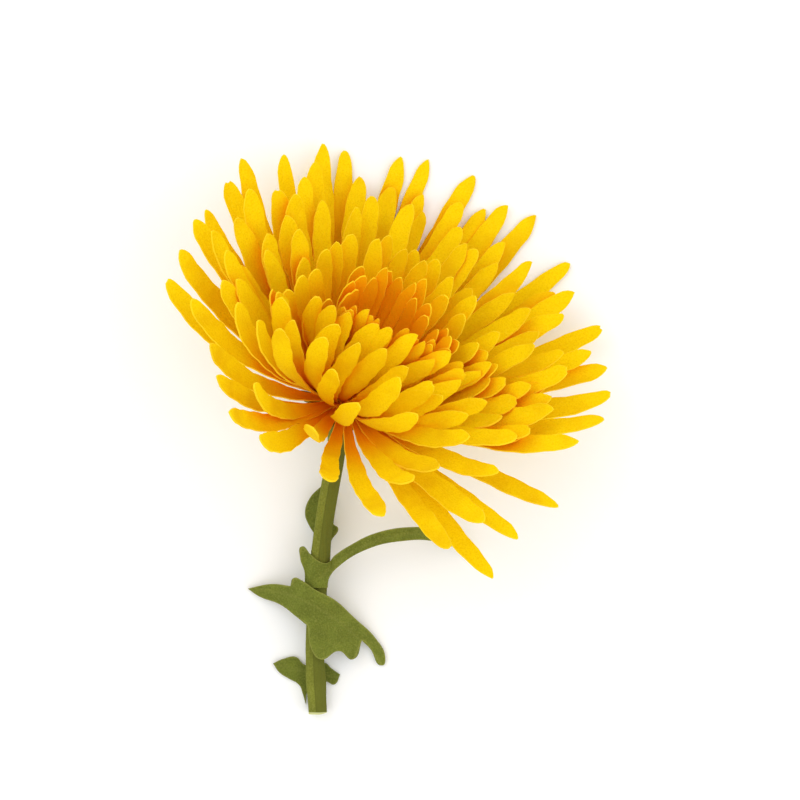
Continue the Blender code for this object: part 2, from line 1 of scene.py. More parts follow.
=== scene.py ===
"""The dressed spider chrysanthemum: petals, disc, bracts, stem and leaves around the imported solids.

Lengths are in metres. The flower lies on z = 0, its bloom points to +Y and its cut end to -Y.
"""
import math
import random

import bmesh
import bpy
from bpy.props import FloatProperty, FloatVectorProperty, IntProperty, PointerProperty
from mathutils import Matrix, Vector


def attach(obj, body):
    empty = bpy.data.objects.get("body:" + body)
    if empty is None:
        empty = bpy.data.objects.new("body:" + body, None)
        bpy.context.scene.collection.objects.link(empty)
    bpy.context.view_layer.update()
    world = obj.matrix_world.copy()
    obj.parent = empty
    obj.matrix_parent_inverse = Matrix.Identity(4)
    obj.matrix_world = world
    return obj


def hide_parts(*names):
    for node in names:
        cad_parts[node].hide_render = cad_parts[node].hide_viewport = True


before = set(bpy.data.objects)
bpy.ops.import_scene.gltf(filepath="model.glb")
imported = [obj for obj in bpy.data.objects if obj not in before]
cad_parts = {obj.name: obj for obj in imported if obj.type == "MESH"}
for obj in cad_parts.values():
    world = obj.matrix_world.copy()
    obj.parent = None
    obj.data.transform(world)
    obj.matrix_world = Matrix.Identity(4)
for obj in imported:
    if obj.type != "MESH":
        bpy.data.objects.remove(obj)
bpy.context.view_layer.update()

bl_info = {
    "name": "Spider chrysanthemum",
    "version": (1, 0, 0),
    "blender": (4, 5, 0),
    "location": "3D View > Sidebar > Flower",
    "description": "Builds the visible pieces of a cut spider chrysanthemum around its solids",
    "category": "Add Mesh",
}

BODY = "root"
MM = 0.001
GOLDEN_ANGLE = math.radians(137.508)
CENTRE = Vector((-2.59, -0.12, 0.0)) * MM       # from the drawing's zero to the flower's middle
STRAIGHT = 0.02                                 # least bend of an arc, as 0 can't divide
SHARP_ANGLE = math.radians(38.0)                # edges sharper than this stay sharp
SAME_PLACE = 0.001 * MM                         # points closer than this are one point

# The bloom's place: the middle of its underside, and its axis
HEAD_BASE = Vector((-15.0, 8.9, 16.9)) * MM
HEAD_ELEVATION = math.radians(43.0)
HEAD_TURN = math.radians(27.0)

# Ray florets, from the innermost to the outermost
ROOT_RADIUS = (4.0 * MM, 6.4 * MM)
ROOT_HEIGHT = 6.0 * MM
ROOT_HEIGHT_POWER = 1.3
LENGTH_POWER = 1.8
LENGTH_SPREAD = 0.05
LENGTH_SWAY = 0.06
LENGTH_AZIMUTH = math.radians(290.0)
WIDTH_POWER = 0.5
WIDTH_SPREAD = 0.1
ROOT_LEAN = (5.0, 82.0)                         # degrees from the bloom's axis
ROOT_LEAN_POWER = 0.45
ROOT_LEAN_SPREAD = 3.0
TIP_LEAN = (-30.0, 46.0)                        # degrees too, as all leans and pushes are
TIP_LEAN_POWER = 0.45
TIP_LEAN_SPREAD = 8.0
SIDE_SPREAD = 0.07
TWIST_SPREAD = 0.2
ROLL_POWER = 0.7
FACE_TURN = 0.7
FACE_LEAST = 0.05
FACE_PLACE = 0.6
FRONT_AZIMUTH = math.radians(74.0)              # the front florets are pushed to the back
FRONT_REACH = 0.85
FRONT_EASE = 0.9
FRONT_PUSH = 43.0
PUSH_TURN = math.radians(24.0)                  # of the push, from the back to the right
PUSH_AT_ROOT, PUSH_AT_TIP = 0.6, 1.4
FRONT_LENGTH = (0.25, -0.45)
TIERS = 4                                       # rows of tips
TIER_SLOPE = 0.35
LOP = 4.0                                       # the bloom opens more on one side
LOP_POWER = 2.0
LOP_AZIMUTH = math.radians(20.0)
SAG = 20.0                                      # the long florets there hang down
SAG_POWER = 2.5
SAG_AZIMUTH = math.radians(35.0)
SAG_NARROWNESS = 11
SAG_AT_ROOT, SAG_AT_TIP = 0.1, 1.9
FLOOR_SOFTNESS = 1.2 * MM
FLOOR_PRESS = 0.15 * MM
FINISH_SEED = 41                                # for tints, notches and ripples alone
BETWEEN_FROM, BETWEEN_TO = 0.46, 0.75           # from here to there more stand between the tiers

# A blade's fine shape, for florets and bracts. Waves are in radians from root to tip
EDGE_WAVE = (16.0, 3.0, 2.0)                    # along, by the blade's phase, from side to side
FINE_WAVE = (47.0, 5.0, 4.0)
FINE_SHARE = 0.7
MEANDER_WAVE = (5.0, 2.0, 0.0)
RIPPLE_WAVE = (9.0, 1.0, 0.0)
NOTCH_REACH = 0.45                              # how far across the tip a notch reaches

# Receptacle, turned about the bloom's axis: radius and height in millimetres
CORE_PROFILE = (
    (0.0, 8.2), (4.1, 8.2), (5.6, 7.4), (7.1, 5.2),
    (8.0, 2.4), (8.1, 0.2), (7.5, -1.0), (0.0, -1.0),
)
CORE_SIDES, DOME_SIDES, CUP_SIDES = 40, 32, 40
PROFILE_STEPS = 4                               # points between two of a profile's
AXIS_WIDTH = 0.05 * MM                          # a ring narrower than this is a point

# Disc florets on their dome
DISC_PROFILE = ((0.0, 2.0), (1.6, 1.7), (2.7, 0.9), (3.1, 0.0), (0.0, 0.0))
DISC_BASE = 8.5 * MM
DISC_RADIUS = 2.4 * MM
DISC_FLORET_PLACE = (1.8 * MM, 1.0 * MM)
DISC_FLORET_HEIGHT = (6.0 * MM, 10.0 * MM)
DISC_SPREAD = math.radians(10.0)
DISC_SINK = 0.8 * MM
TUBE_SECTIONS = 8
TUBE_WAIST, TUBE_FLARE = 0.75, 0.35             # of the tube's radius
TUBE_LIP = 0.55                                 # how much its top closes
LIP_STEEPNESS, LIP_START = 6.0, 5.0             # from five sixths of its height

# Involucre: the green cup and its bracts
CUP_PROFILE = (
    (0.0, -1.3), (7.2, -1.3), (7.4, -2.1), (6.6, -4.2), (4.6, -6.2), (2.9, -7.0), (0.0, -7.0),
)
CUP_BOTTOM = -7.0 * MM
BRACT_ROWS = (                                  # radius, height, length, width, root lean, tip lean
    (4.3, -5.5, 6.5, 2.3, 48.0, 70.0),
    (5.4, -4.6, 7.5, 2.6, 56.0, 80.0),
    (6.2, -3.4, 8.5, 2.8, 64.0, 88.0),
)
BRACTS_IN_A_ROW = 13

# Stem: its middle line from the cut end up to the neck, in millimetres
STEM_ROUTE = (
    (-23.4, -80.3, 2.58), (-24.0, -69.0, 4.1), (-24.2, -60.1, 5.1), (-23.5, -47.1, 6.3),
    (-22.4, -33.8, 7.3), (-21.3, -24.9, 8.0), (-19.9, -16.6, 8.6), (-18.5, -8.9, 9.1),
    (-17.9, -3.4, 9.4),
)
NECK_LENGTH = 2.7 * MM
NECK_GAP = 0.1 * MM
STEM_STEPS = 6
STEM_RIBS = 5
STEM_CREASE = 0.733                             # of the way round: just left of the top
NODE_PLACES = (-71.0 * MM, -37.5 * MM)
NODE_SWELL = 0.10
NODE_SPREAD = 4.0 * MM

# Leaves, drawn as they are seen from above, in millimetres
LEAF_REST = 0.48 * MM
LEAF_MARGIN = 2.0 * MM                          # of the uncut sheet round its outline
LOBED_CLEARANCE = 2.0 * MM
LOBED_SADDLE = 11.0 * MM
SHEATH_CLEARANCE = 0.6 * MM
SHEATH_MARGIN = 0.9 * MM
SHEATH_FLATNESS = 0.12
ARCH_SPAN = 41.0 * MM
ARCH_RISE, ARCH_DROP = 5.0 * MM, 7.2 * MM
BEHIND_CLEARANCE = 0.85 * MM
BEHIND_BEND = 20.0                              # drop by the square of the distance from the stem
LOWER_CURL = 0.4 * MM
LOWER_SPAN = 10.0 * MM
OUTLINE_STEPS = 8
OUTLINE_REACH = 30.0 * MM
VEIN_STEPS, RIM_STEPS = 5, 4                    # points between two of a vein's or a rim's
SIDE_VEIN = 0.6                                 # of the main vein's width and height
# width of the painted highlight along a leaf's edge
HIGHLIGHT_WIDTH = 0.35 * MM
STEM_ROOM = 0.15 * MM
SMOOTH, CORNER = "AUTO", "VECTOR"               # an outline is smooth but at its corners
LOBED_OUTLINE = (
    (-43.2, -45.2, CORNER), (-36.3, -43.8), (-31.0, -44.2, CORNER), (-30.0, -41.9), (-27.4, -42.7),
    (-24.1, -44.9), (-18.6, -47.9), (-12.7, -53.5), (-6.9, -59.3), (-4.2, -64.5), (-5.0, -67.0),
    (-8.4, -62.3), (-10.8, -59.8, CORNER), (-13.3, -65.1), (-17.2, -62.6), (-22.4, -64.8),
    (-25.2, -61.2), (-25.9, -55.4, CORNER), (-29.1, -52.9), (-33.8, -49.6), (-39.9, -47.4),
)
LOBED_VEINS = (
    ((-41.0, -45.4), (-33.0, -46.2), (-26.0, -48.6), (-17.5, -54.0), (-10.0, -61.0), (-5.2, -66.0)),
    ((-31.0, -46.6), (-30.2, -43.4)),
    ((-26.0, -48.6), (-24.6, -55.0), (-22.4, -63.4)),
    ((-21.0, -51.6), (-17.4, -57.6), (-14.0, -63.6)),
    ((-29.5, -47.4), (-31.0, -50.2)),
    ((-19.5, -52.6), (-15.0, -52.4)),
)
ARCHING_OUTLINE = (
    (-27.8, -33.0), (-25.2, -35.2), (-22.9, -37.0), (-20.5, -37.6), (-18.5, -35.6), (-13.9, -32.5),
    (-6.9, -29.1), (3.6, -27.4), (11.6, -28.3), (17.2, -31.0), (21.2, -34.9, CORNER), (15.8, -33.4),
    (8.3, -31.3), (1.4, -31.3), (-8.3, -33.3), (-17.5, -38.8), (-20.0, -42.0),
    (-20.4, -44.6, CORNER), (-27.0, -44.6, CORNER), (-26.9, -40.4), (-28.2, -36.0),
)
ARCHING_VEINS = (
    ((-22.4, -42.0), (-19.0, -38.4), (-10.0, -32.6), (2.0, -29.3), (12.0, -30.2), (20.2, -34.2)),
)
BEHIND_OUTLINE = (
    (-21.6, -15.5, CORNER), (-25.5, -19.4), (-26.9, -23.8), (-25.9, -26.9), (-24.4, -29.4),
    (-22.7, -32.7), (-21.9, -36.0, CORNER), (-20.0, -36.0, CORNER), (-20.1, -33.5), (-19.3, -31.3),
    (-17.5, -28.0), (-19.0, -26.6), (-18.9, -23.0), (-18.7, -19.0),
)
BEHIND_VEINS = (
    ((-21.0, -35.5), (-22.0, -28.0), (-23.0, -22.0), (-21.8, -17.0)),
    ((-22.0, -28.0), (-24.6, -26.4)),
    ((-21.8, -29.4), (-19.0, -28.2)),
)
LOWER_OUTLINE = (
    (-36.0, -66.4, CORNER), (-32.7, -65.0), (-29.6, -64.6), (-27.2, -66.8), (-24.4, -67.2),
    (-21.3, -66.3), (-19.4, -67.9), (-17.0, -69.6, CORNER), (-18.6, -72.4), (-21.0, -71.6),
    (-23.6, -72.2), (-26.2, -74.2), (-26.8, -78.0, CORNER), (-27.6, -75.0), (-28.6, -72.6),
    (-31.8, -70.6), (-34.2, -69.0),
)
LOWER_VEINS = (
    ((-17.6, -70.4), (-23.0, -69.4), (-28.5, -68.4), (-34.6, -66.8)),
    ((-26.0, -69.0), (-27.0, -76.6)),
    ((-27.5, -68.6), (-30.0, -65.8)),
)

# Finishes. A mask is 0 below the first number of its range and 1 above the second
ROUGHNESS = {"petal": 0.78, "disc": 0.8, "bract": 0.7, "stem": 0.68, "leaf": 0.72, "floor": 0.9}
GLOSS = 0.04                                    # every surface is matt, like paper
GRAIN_SCALE = 2200.0
DARK_GRAIN, LIGHT_GRAIN = (0.34, 0.52), (0.52, 0.72)
PETAL_GRAIN = (0.5, 0.3)                        # strength of the dark specks and of the light ones
GREEN_GRAIN = (0.5, 0.4)
SPECK_AND_SIDE_SHADE = 0.62                              # of the dark specks on green, and of the stem's painted shaded side

PETAL_REACH = 60.0 * MM                         # the painted root shade is measured as a share of this
# Painted shade: where the orange of the bloom's depth fades along a floret
ROOT_SHADE_RANGE = (0.06, 0.36)
ROOT_SHADE_BY_TINT, ROOT_SHADE_BY_LAYER = 0.03, 0.05
DEEPER = 0.86                                   # shade of the blotches
BLOTCH_SCALE = 90.0
BLOTCH_RANGE = (0.42, 0.85)
BLOTCH_BY_TINT = 0.12
PETAL_GAP = 5.0 * MM                            # petals closer than this paint orange shade on each other
OPEN_RANGE = (0.1, 0.95)
OPENNESS_RAYS = 8
HOLLOW_REACH = (19.0 * MM, 40.0 * MM)           # where the painted orange shade of the bloom's hollow ends
HOLLOW_SLOPE = 0.35                             # how much narrower the hollow is for its height
HOLLOW_FACING = (-0.35, 0.25)
HOLLOW_SHADE_SHARE = 0.7
# A painted highlight along a petal's sides and tip
HIGHLIGHT_AT_SIDES, HIGHLIGHT_AT_TIP = (0.985, 1.0), (0.995, 1.0)
HIGHLIGHT_SHARE = 0.4
STREAK_STRETCH = (2.4, 1.5, 9.0)                # across, along, and from petal to petal
STREAK_SCALE, STREAK_DETAIL = 3.0, 4.0
STREAK_RELIEF, PETAL_GRAIN_RELIEF = 0.5, 0.6
PETAL_BUMP = 0.12 * MM

# Painted shade at the foot of the disc florets, where they crowd together
DISC_FOOT_SHADE_FADE = (0.35, 1.0)
DISC_FOOT_SHADE = 0.5
POLLEN_SCALE = 900.0
POLLEN_RANGE = (0.4, 0.8)
POLLEN_SHARE = 0.4
DISC_GRAIN_SCALE = 2400.0
DISC_BUMP = 0.1 * MM

MOTTLE_SCALE, MOTTLE_DETAIL = 160.0, 3.0
MOTTLE_RANGE = (0.32, 0.72)
MOTTLE_SHADES = (0.86, 1.10)
BRACT_RIM = (0.7, 1.0)
BRACT_RIM_SHARE = 0.5
BRACT_BUMP = 0.12 * MM
CREASE_EDGE = (-0.04, 0.04)                     # from the stem's lit side to its shaded one
SHADED_SHARE = 0.8
# A painted dark line of shade along the stem's crease
CREASE_SHADE_LINE = (0.0, 0.12)
CREASE_SHADE_SHARE, CREASE_SHADE = 0.6, 0.5
CUT_END = (-80.0 * MM, -79.85 * MM)
FIBRE_STRETCH = 0.05                            # the stem's fibres are 20 times as long as wide
FIBRE_SCALE, FIBRE_DETAIL = 1400.0, 3.0
STEM_GRAIN_RELIEF = 0.4
STEM_BUMP = 0.3 * MM
VEIN_RANGE, VEIN_SHARE = (0.25, 1.0), 0.15
# A painted highlight along the leaves' cut edges
LEAF_HIGHLIGHT = (0.3, 1.0)
LEAF_HIGHLIGHT_SHARE, LEAF_HIGHLIGHT_LIGHTNESS = 0.5, 1.15
LEAF_BUMP = 0.22 * MM
CLOUD_SCALE, CLOUD_SHADE = 3.0, 0.99

# Stage
FLOOR_SIZE = 3.0
CAMERA_HEIGHT = 1.2
CAMERA_LEVEL = 0.03                             # the height at which the photograph's scale holds
CAMERA_MIDDLE = Vector((0.0, 8.31, 0.0)) * MM   # the photograph's middle, in the drawing
PHOTO_WIDTH = 221.6 * MM                        # what the photograph's width spans there
SENSOR = 36.0
CLIP_END = 10.0
LIGHTS = (                                      # name, place, size, watts
    ("key", (-0.55, 0.45, 0.85), 0.60, 1.2),
    ("fill", (0.7, -0.4, 0.8), 1.0, 1.3),
)
SKY_STRENGTH = 1.12


# Properties


def length_property(name, description, default):
    return FloatProperty(name=name, description=description, default=default,
                         min=0.0, subtype="DISTANCE", unit="LENGTH")


def share_property(name, description, default):
    return FloatProperty(name=name, description=description, default=default,
                         min=0.0, max=1.0, subtype="FACTOR")


def colour_property(name, description, default):
    return FloatVectorProperty(name=name, description=description, default=default,
                               min=0.0, max=1.0, size=3, subtype="COLOR")


class BloomSizes(bpy.types.PropertyGroup):
    """Sizes of the ray florets, the disc florets and the bracts."""

    floret_count: IntProperty(
        name="Ray florets", description="How many ray florets the bloom has", default=138, min=1)
    floret_seed: IntProperty(
        name="Seed", description="Seed of the florets' small differences", default=5)
    first_azimuth: FloatProperty(
        name="First azimuth", description="Where the innermost floret points",
        default=math.radians(279.0), subtype="ANGLE", unit="ROTATION")
    inner_length: length_property("Inner length", "Length in the middle of the bloom", 31.0 * MM)
    outer_length: length_property("Outer length", "Length towards the bloom's rim", 75.0 * MM)
    inner_width: length_property("Inner width", "Width of the innermost florets", 3.0 * MM)
    outer_width: length_property("Outer width", "Width of the outermost florets", 5.5 * MM)
    extra_width: length_property("Extra width", "What the middle rows have more", 0.8 * MM)
    floret_thickness: length_property("Thickness", "Thickness of a ray floret", 0.5 * MM)
    channel: share_property("Channel", "A floret's hollow as a share of half its width", 0.07)
    taper: share_property("Taper", "How much narrower the outer tips are", 0.34)
    waviness: share_property("Waviness", "How wavy the edges are, as a share of the width", 0.075)
    slant: length_property("Slant", "How far a tip can slant to one side", 4.4 * MM)
    meander: length_property("Meander", "How far a floret strays to its sides", 0.5 * MM)
    tip_length: length_property("Round tip", "How long a floret's round tip is", 4.2 * MM)
    notch_depth: length_property("Notch", "Depth of the deepest notch in a tip", 0.9 * MM)
    ripple: length_property("Ripple", "How far a floret ripples along its length", 0.25 * MM)
    disc_count: IntProperty(
        name="Disc florets", description="How many disc florets the middle has", default=22, min=1)
    disc_radius: length_property("Disc floret radius", "Radius of a disc floret", 0.52 * MM)
    bract_thickness: length_property("Bract thickness", "Thickness of a bract", 0.5 * MM)


class GreenSizes(bpy.types.PropertyGroup):
    """Sizes of the stem and the leaves."""

    stem_radius: length_property("Stem radius", "Radius of the stem between its nodes", 2.6 * MM)
    rib_share: share_property("Rib height", "Height of a stem rib as a share of the radius", 0.05)
    leaf_thickness: length_property("Leaf thickness", "Thickness of a leaf", 0.7 * MM)
    leaf_cell: length_property("Leaf detail", "Distance between a leaf's points", 0.55 * MM)
    vein_width: length_property("Vein width", "Half width of a leaf's main vein", 0.6 * MM)
    vein_height: length_property("Vein height", "How far the veins are raised", 0.14 * MM)


class FlowerColours(bpy.types.PropertyGroup):
    """Colours of the flower and of the floor."""

    petal: colour_property("Petal", "Upper part of a ray floret", (0.93, 0.655, 0.001))
    # painted shade: the orange towards a floret's root, deep in the bloom
    petal_root_shade: colour_property("Petal root", "Lower part of a ray floret", (0.94, 0.33, 0.001))
    # painted shade between close petals and in the bloom's hollow
    petal_shade: colour_property("Petal depth", "Faces deep between the petals", (0.94, 0.26, 0.001))
    # the light flecks of the grain, and the painted highlight along a petal's edge
    petal_fleck_and_highlight: colour_property("Petal edge", "Thin edge of a ray floret", (0.96, 0.66, 0.03))
    # the disc florets' own orange, darkened by painted shade of the bloom's middle
    disc: colour_property("Disc", "Disc florets", (0.62, 0.16, 0.004))
    bract: colour_property("Bract", "Cup and bracts", (0.148, 0.174, 0.024))
    stem: colour_property("Stem", "Stem", (0.184, 0.198, 0.028))
    pith: colour_property("Pith", "Cut end of the stem", (0.55, 0.56, 0.25))
    leaf: colour_property("Leaf", "Leaf blades", (0.152, 0.180, 0.026))
    # also the light flecks, the bracts' pale edges and the painted highlight along the leaves' edges
    leaf_vein_and_highlight: colour_property("Vein", "Leaf veins and edges", (0.27, 0.27, 0.065))
    floor: colour_property("Floor", "Pale floor", (0.95, 0.95, 0.95))


# Node trees written as arithmetic


def feed(tree, socket, value):
    """Link a term or a socket to an input, or set the input to a plain value."""
    if isinstance(value, Term):
        value = value.socket
    if isinstance(value, bpy.types.NodeSocket):
        tree.links.new(value, socket)
    else:
        socket.default_value = value


def add_node(tree, kind, inputs=None, **settings):
    node = tree.nodes.new(kind)
    for name, value in settings.items():
        setattr(node, name, value)
    for place, value in (inputs or {}).items():
        feed(tree, node.inputs[place], value)
    return node


class Term:
    """A number or a vector in a node tree that takes the usual signs of arithmetic."""

    def __init__(self, tree, socket):
        self.tree = tree
        self.socket = socket
        self.is_vector = socket.type == "VECTOR"

    def number(self, operation, *values):
        node = add_node(self.tree, "ShaderNodeMath", dict(enumerate(values)), operation=operation)
        return Term(self.tree, node.outputs[0])

    def vector(self, operation, inputs, output=0):
        node = add_node(self.tree, "ShaderNodeVectorMath", inputs, operation=operation)
        return Term(self.tree, node.outputs[output])

    def __add__(self, other):
        if self.is_vector:
            return self.vector("ADD", {0: self, 1: other})
        return self.number("ADD", self, other)

    def __sub__(self, other):
        if self.is_vector:
            return self.vector("SUBTRACT", {0: self, 1: other})
        return self.number("SUBTRACT", self, other)

    def __mul__(self, other):
        if self.is_vector:
            return self.vector("SCALE", {0: self, "Scale": other})
        return self.number("MULTIPLY", self, other)

    def __truediv__(self, other):
        return self.number("DIVIDE", self, other)

    def __pow__(self, other):
        return self.number("POWER", self, other)

    def __radd__(self, other):
        return self.number("ADD", other, self)

    def __rsub__(self, other):
        return self.number("SUBTRACT", other, self)

    __rmul__ = __mul__

    def sin(self):
        return self.number("SINE", self)

    def cos(self):
        return self.number("COSINE", self)

    def root(self):
        return self.number("SQRT", self)

    def size(self):
        return self.number("ABSOLUTE", self)

    def dot(self, other):
        return self.vector("DOT_PRODUCT", {0: self, 1: other}, "Value")

    def cross(self, other):
        return self.vector("CROSS_PRODUCT", {0: self, 1: other})

    def unit(self):
        return self.vector("NORMALIZE", {0: self})

    def at_least(self, other):
        return self.number("MAXIMUM", self, other)

    def at_most(self, other):
        return self.number("MINIMUM", self, other)

    def parts(self):
        node = add_node(self.tree, "ShaderNodeSeparateXYZ", {0: self})
        return [Term(self.tree, output) for output in node.outputs]


def position(tree):
    """Where the points are."""
    return Term(tree, add_node(tree, "GeometryNodeInputPosition").outputs[0])


def way_along(tree):
    """How far along its curve a point is, from 0 to 1."""
    return Term(tree, add_node(tree, "GeometryNodeSplineParameter").outputs["Factor"])


def combined(tree, x, y, z):
    node = add_node(tree, "ShaderNodeCombineXYZ", {0: x, 1: y, 2: z})
    return Term(tree, node.outputs[0])


def new_tree(name, inputs):
    """A geometry tree with named inputs: (name, socket kind, default)."""
    tree = bpy.data.node_groups.new(name, "GeometryNodeTree")
    tree.interface.new_socket("Geometry", in_out="INPUT", socket_type="NodeSocketGeometry")
    for label, kind, default in inputs:
        socket = tree.interface.new_socket(label, in_out="INPUT", socket_type=kind)
        if default is not None:
            socket.default_value = default
    tree.interface.new_socket("Geometry", in_out="OUTPUT", socket_type="NodeSocketGeometry")
    entry = tree.nodes.new("NodeGroupInput")
    terms = {label: Term(tree, entry.outputs[label]) for label, _, _ in inputs}
    return tree, entry.outputs["Geometry"], terms


def named(tree, name, kind="FLOAT"):
    """A number or a vector that the points carry."""
    node = add_node(tree, "GeometryNodeInputNamedAttribute", {"Name": name}, data_type=kind)
    return Term(tree, node.outputs["Attribute"])


def store(tree, geometry, name, value):
    """Let the points carry a number from here on."""
    inputs = {"Geometry": geometry, "Name": name, "Value": value}
    node = add_node(tree, "GeometryNodeStoreNamedAttribute", inputs,
                    data_type="FLOAT", domain="POINT")
    return node.outputs["Geometry"]


def finish_tree(tree, geometry, material):
    """Every tree ends in the same three nodes: realize, shade smooth and set the material."""
    realized = add_node(tree, "GeometryNodeRealizeInstances", {"Geometry": geometry})
    smooth = add_node(tree, "GeometryNodeSetShadeSmooth", {"Geometry": realized.outputs[0]})
    painted = add_node(tree, "GeometryNodeSetMaterial",
                       {"Geometry": smooth.outputs[0], "Material": material})
    leave = tree.nodes.new("NodeGroupOutput")
    feed(tree, leave.inputs["Geometry"], painted.outputs[0])


def add_tree(item, tree, values):
    """Put a tree on an object, with its inputs set by their identifiers."""
    modifier = item.modifiers.new(tree.name, "NODES")
    modifier.node_group = tree
    for socket in tree.interface.items_tree:
        if socket.in_out == "INPUT" and socket.name in values:
            modifier[socket.identifier] = values[socket.name]


# Meshes


def new_object(name, data):
    item = bpy.data.objects.new(name, data)
    bpy.context.scene.collection.objects.link(item)
    return item


def mesh_from(bm, name):
    """Write a bmesh into a new mesh and let go of it."""
    mesh = bpy.data.meshes.new(name)
    bm.to_mesh(mesh)
    bm.free()
    return mesh


def close_up(bm):
    """Merge doubles and let all faces point outwards."""
    bmesh.ops.remove_doubles(bm, verts=bm.verts, dist=SAME_PLACE)
    bmesh.ops.recalc_face_normals(bm, faces=bm.faces)


def carry(mesh, name, values):
    """Let a mesh's points carry a number or a vector each."""
    if isinstance(values[0], Vector):
        layer = mesh.attributes.new(name, "FLOAT_VECTOR", "POINT")
        layer.data.foreach_set("vector", [number for value in values for number in value])
    else:
        layer = mesh.attributes.new(name, "FLOAT", "POINT")
        layer.data.foreach_set("value", values)


def evaluated_mesh(item):
    bpy.context.view_layer.update()
    depsgraph = bpy.context.evaluated_depsgraph_get()
    return bpy.data.meshes.new_from_object(item.evaluated_get(depsgraph), depsgraph=depsgraph)


def plain(item, name):
    """Turn an object and its modifiers into a plain mesh at the origin."""
    mesh = evaluated_mesh(item)
    mesh.transform(item.matrix_world)
    mesh.name = name
    bpy.data.objects.remove(item, do_unlink=True)
    for polygon in mesh.polygons:
        polygon.use_smooth = True
    mesh.set_sharp_from_angle(angle=SHARP_ANGLE)
    return new_object(name, mesh)


def finish_piece(piece, slot, *nodes):
    """Attach a piece to its body and hide the solids that it stands for; its finish, the slot, is not
    used.
    """
    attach(piece, BODY)
    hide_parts(*nodes)


def points_mesh(name, rows):
    """A mesh of loose points that carry named numbers: one dictionary for each point."""
    mesh = bpy.data.meshes.new(name)
    mesh.from_pydata([row.get("place", (0.0, 0.0, 0.0)) for row in rows], [], [])
    for key in rows[0]:
        if key != "place":
            carry(mesh, key, [row[key] for row in rows])
    return mesh


def catmull_rom(points, steps):
    """A smooth line through points, with its ends continued straight."""
    guide = [points[0] * 2 - points[1], *points, points[-1] * 2 - points[-2]]
    line = []
    for a, b, c, d in zip(guide, guide[1:], guide[2:], guide[3:]):
        for step in range(steps):
            t = step / steps
            line.append(0.5 * (2 * b + (c - a) * t + (2 * a - 5 * b + 4 * c - d) * t ** 2
                               + (3 * b - a - 3 * c + d) * t ** 3))
    line.append(points[-1])
    return line


def turned(name, profile, sides):
    """Turn a profile of radius and height, in millimetres from top to bottom, about the axis."""
    profile = [Vector((radius, 0.0, height)) * MM for radius, height in profile]
    bm = bmesh.new()
    rings = []
    for point in catmull_rom(profile, PROFILE_STEPS):
        if point.x < AXIS_WIDTH:
            rings.append([bm.verts.new((0.0, 0.0, point.z))])
            continue
        angles = [side * math.tau / sides for side in range(sides)]
        rings.append([bm.verts.new((point.x * math.cos(angle), point.x * math.sin(angle), point.z))
                      for angle in angles])
    for upper, lower in zip(rings, rings[1:]):
        for side in range(sides):
            after = (side + 1) % sides
            corners = [upper[side % len(upper)], upper[after % len(upper)],
                       lower[after % len(lower)], lower[side % len(lower)]]
            corners = list(dict.fromkeys(corners))
            if len(corners) > 2:
                bm.faces.new(corners)
    close_up(bm)
    return new_object(name, mesh_from(bm, name))


def turned_piece(name, profile, sides, place, material):
    """A piece that is turned about the bloom's axis."""
    core = turned(name + "_core", profile, sides)
    core.matrix_world = place
    piece = plain(core, name)
    piece.data.materials.append(material)
    return piece


# The bloom's rule


def head_frame():
    """The bloom's own frame: X to its right, Y towards its back, Z along its axis."""
    flat = math.cos(HEAD_ELEVATION)
    axis = Vector((math.sin(HEAD_TURN) * flat, math.cos(HEAD_TURN) * flat,
                   math.sin(HEAD_ELEVATION)))
    right = Vector((math.cos(HEAD_TURN), -math.sin(HEAD_TURN), 0.0))
    back = axis.cross(right)
    place = Matrix((right, back, axis)).transposed().to_4x4()
    place.translation = HEAD_BASE - CENTRE
    return place


def grade(first, last, share, power=1.0):
    """A size that grows from the first to the last."""
    return first + (last - first) * share ** power


def leaning(azimuth, lean, push=0.0):
    """A direction of the bloom that leans away from its axis and is pushed to its back."""
    right = math.cos(azimuth) * lean + math.sin(PUSH_TURN) * push
    back = math.cos(PUSH_TURN) * push - math.sin(azimuth) * lean
    angle = math.radians(math.hypot(right, back))
    flat = math.radians(math.sin(angle) / max(angle, STRAIGHT))
    return Vector((right * flat, back * flat, math.cos(angle)))


def arc_row(azimuth, radius, height, start, finish):
    """The arc of a blade's middle line, from one direction to another."""
    place = head_frame()
    turn = place.to_3x3()
    outward = Vector((math.cos(azimuth), -math.sin(azimuth), 0.0))
    around = Vector((-math.sin(azimuth), -math.cos(azimuth), 0.0))
    return {
        "root": place @ (outward * radius + Vector((0.0, 0.0, height))),
        "around": turn @ around,
        "start": turn @ start,
        "finish": turn @ finish,
        "turn": max(start.angle(finish), STRAIGHT),
    }


def roll_to_light(arc):
    """The roll that turns a floret's face, inner or outer, towards the light above."""
    along = arc["start"].slerp(arc["finish"], FACE_PLACE)
    across = (arc["around"] - along * along.dot(arc["around"])).normalized()
    side, face = across.z, across.cross(along).z
    return -FACE_TURN * math.atan(side / math.copysign(max(abs(face), FACE_LEAST), face))


def tier_of(share):
    """Florets of a tier are nearly alike, so their tips stand in rows."""
    place = share * TIERS
    middle = math.floor(place) + 0.5
    return (middle + TIER_SLOPE * (place - middle)) / TIERS


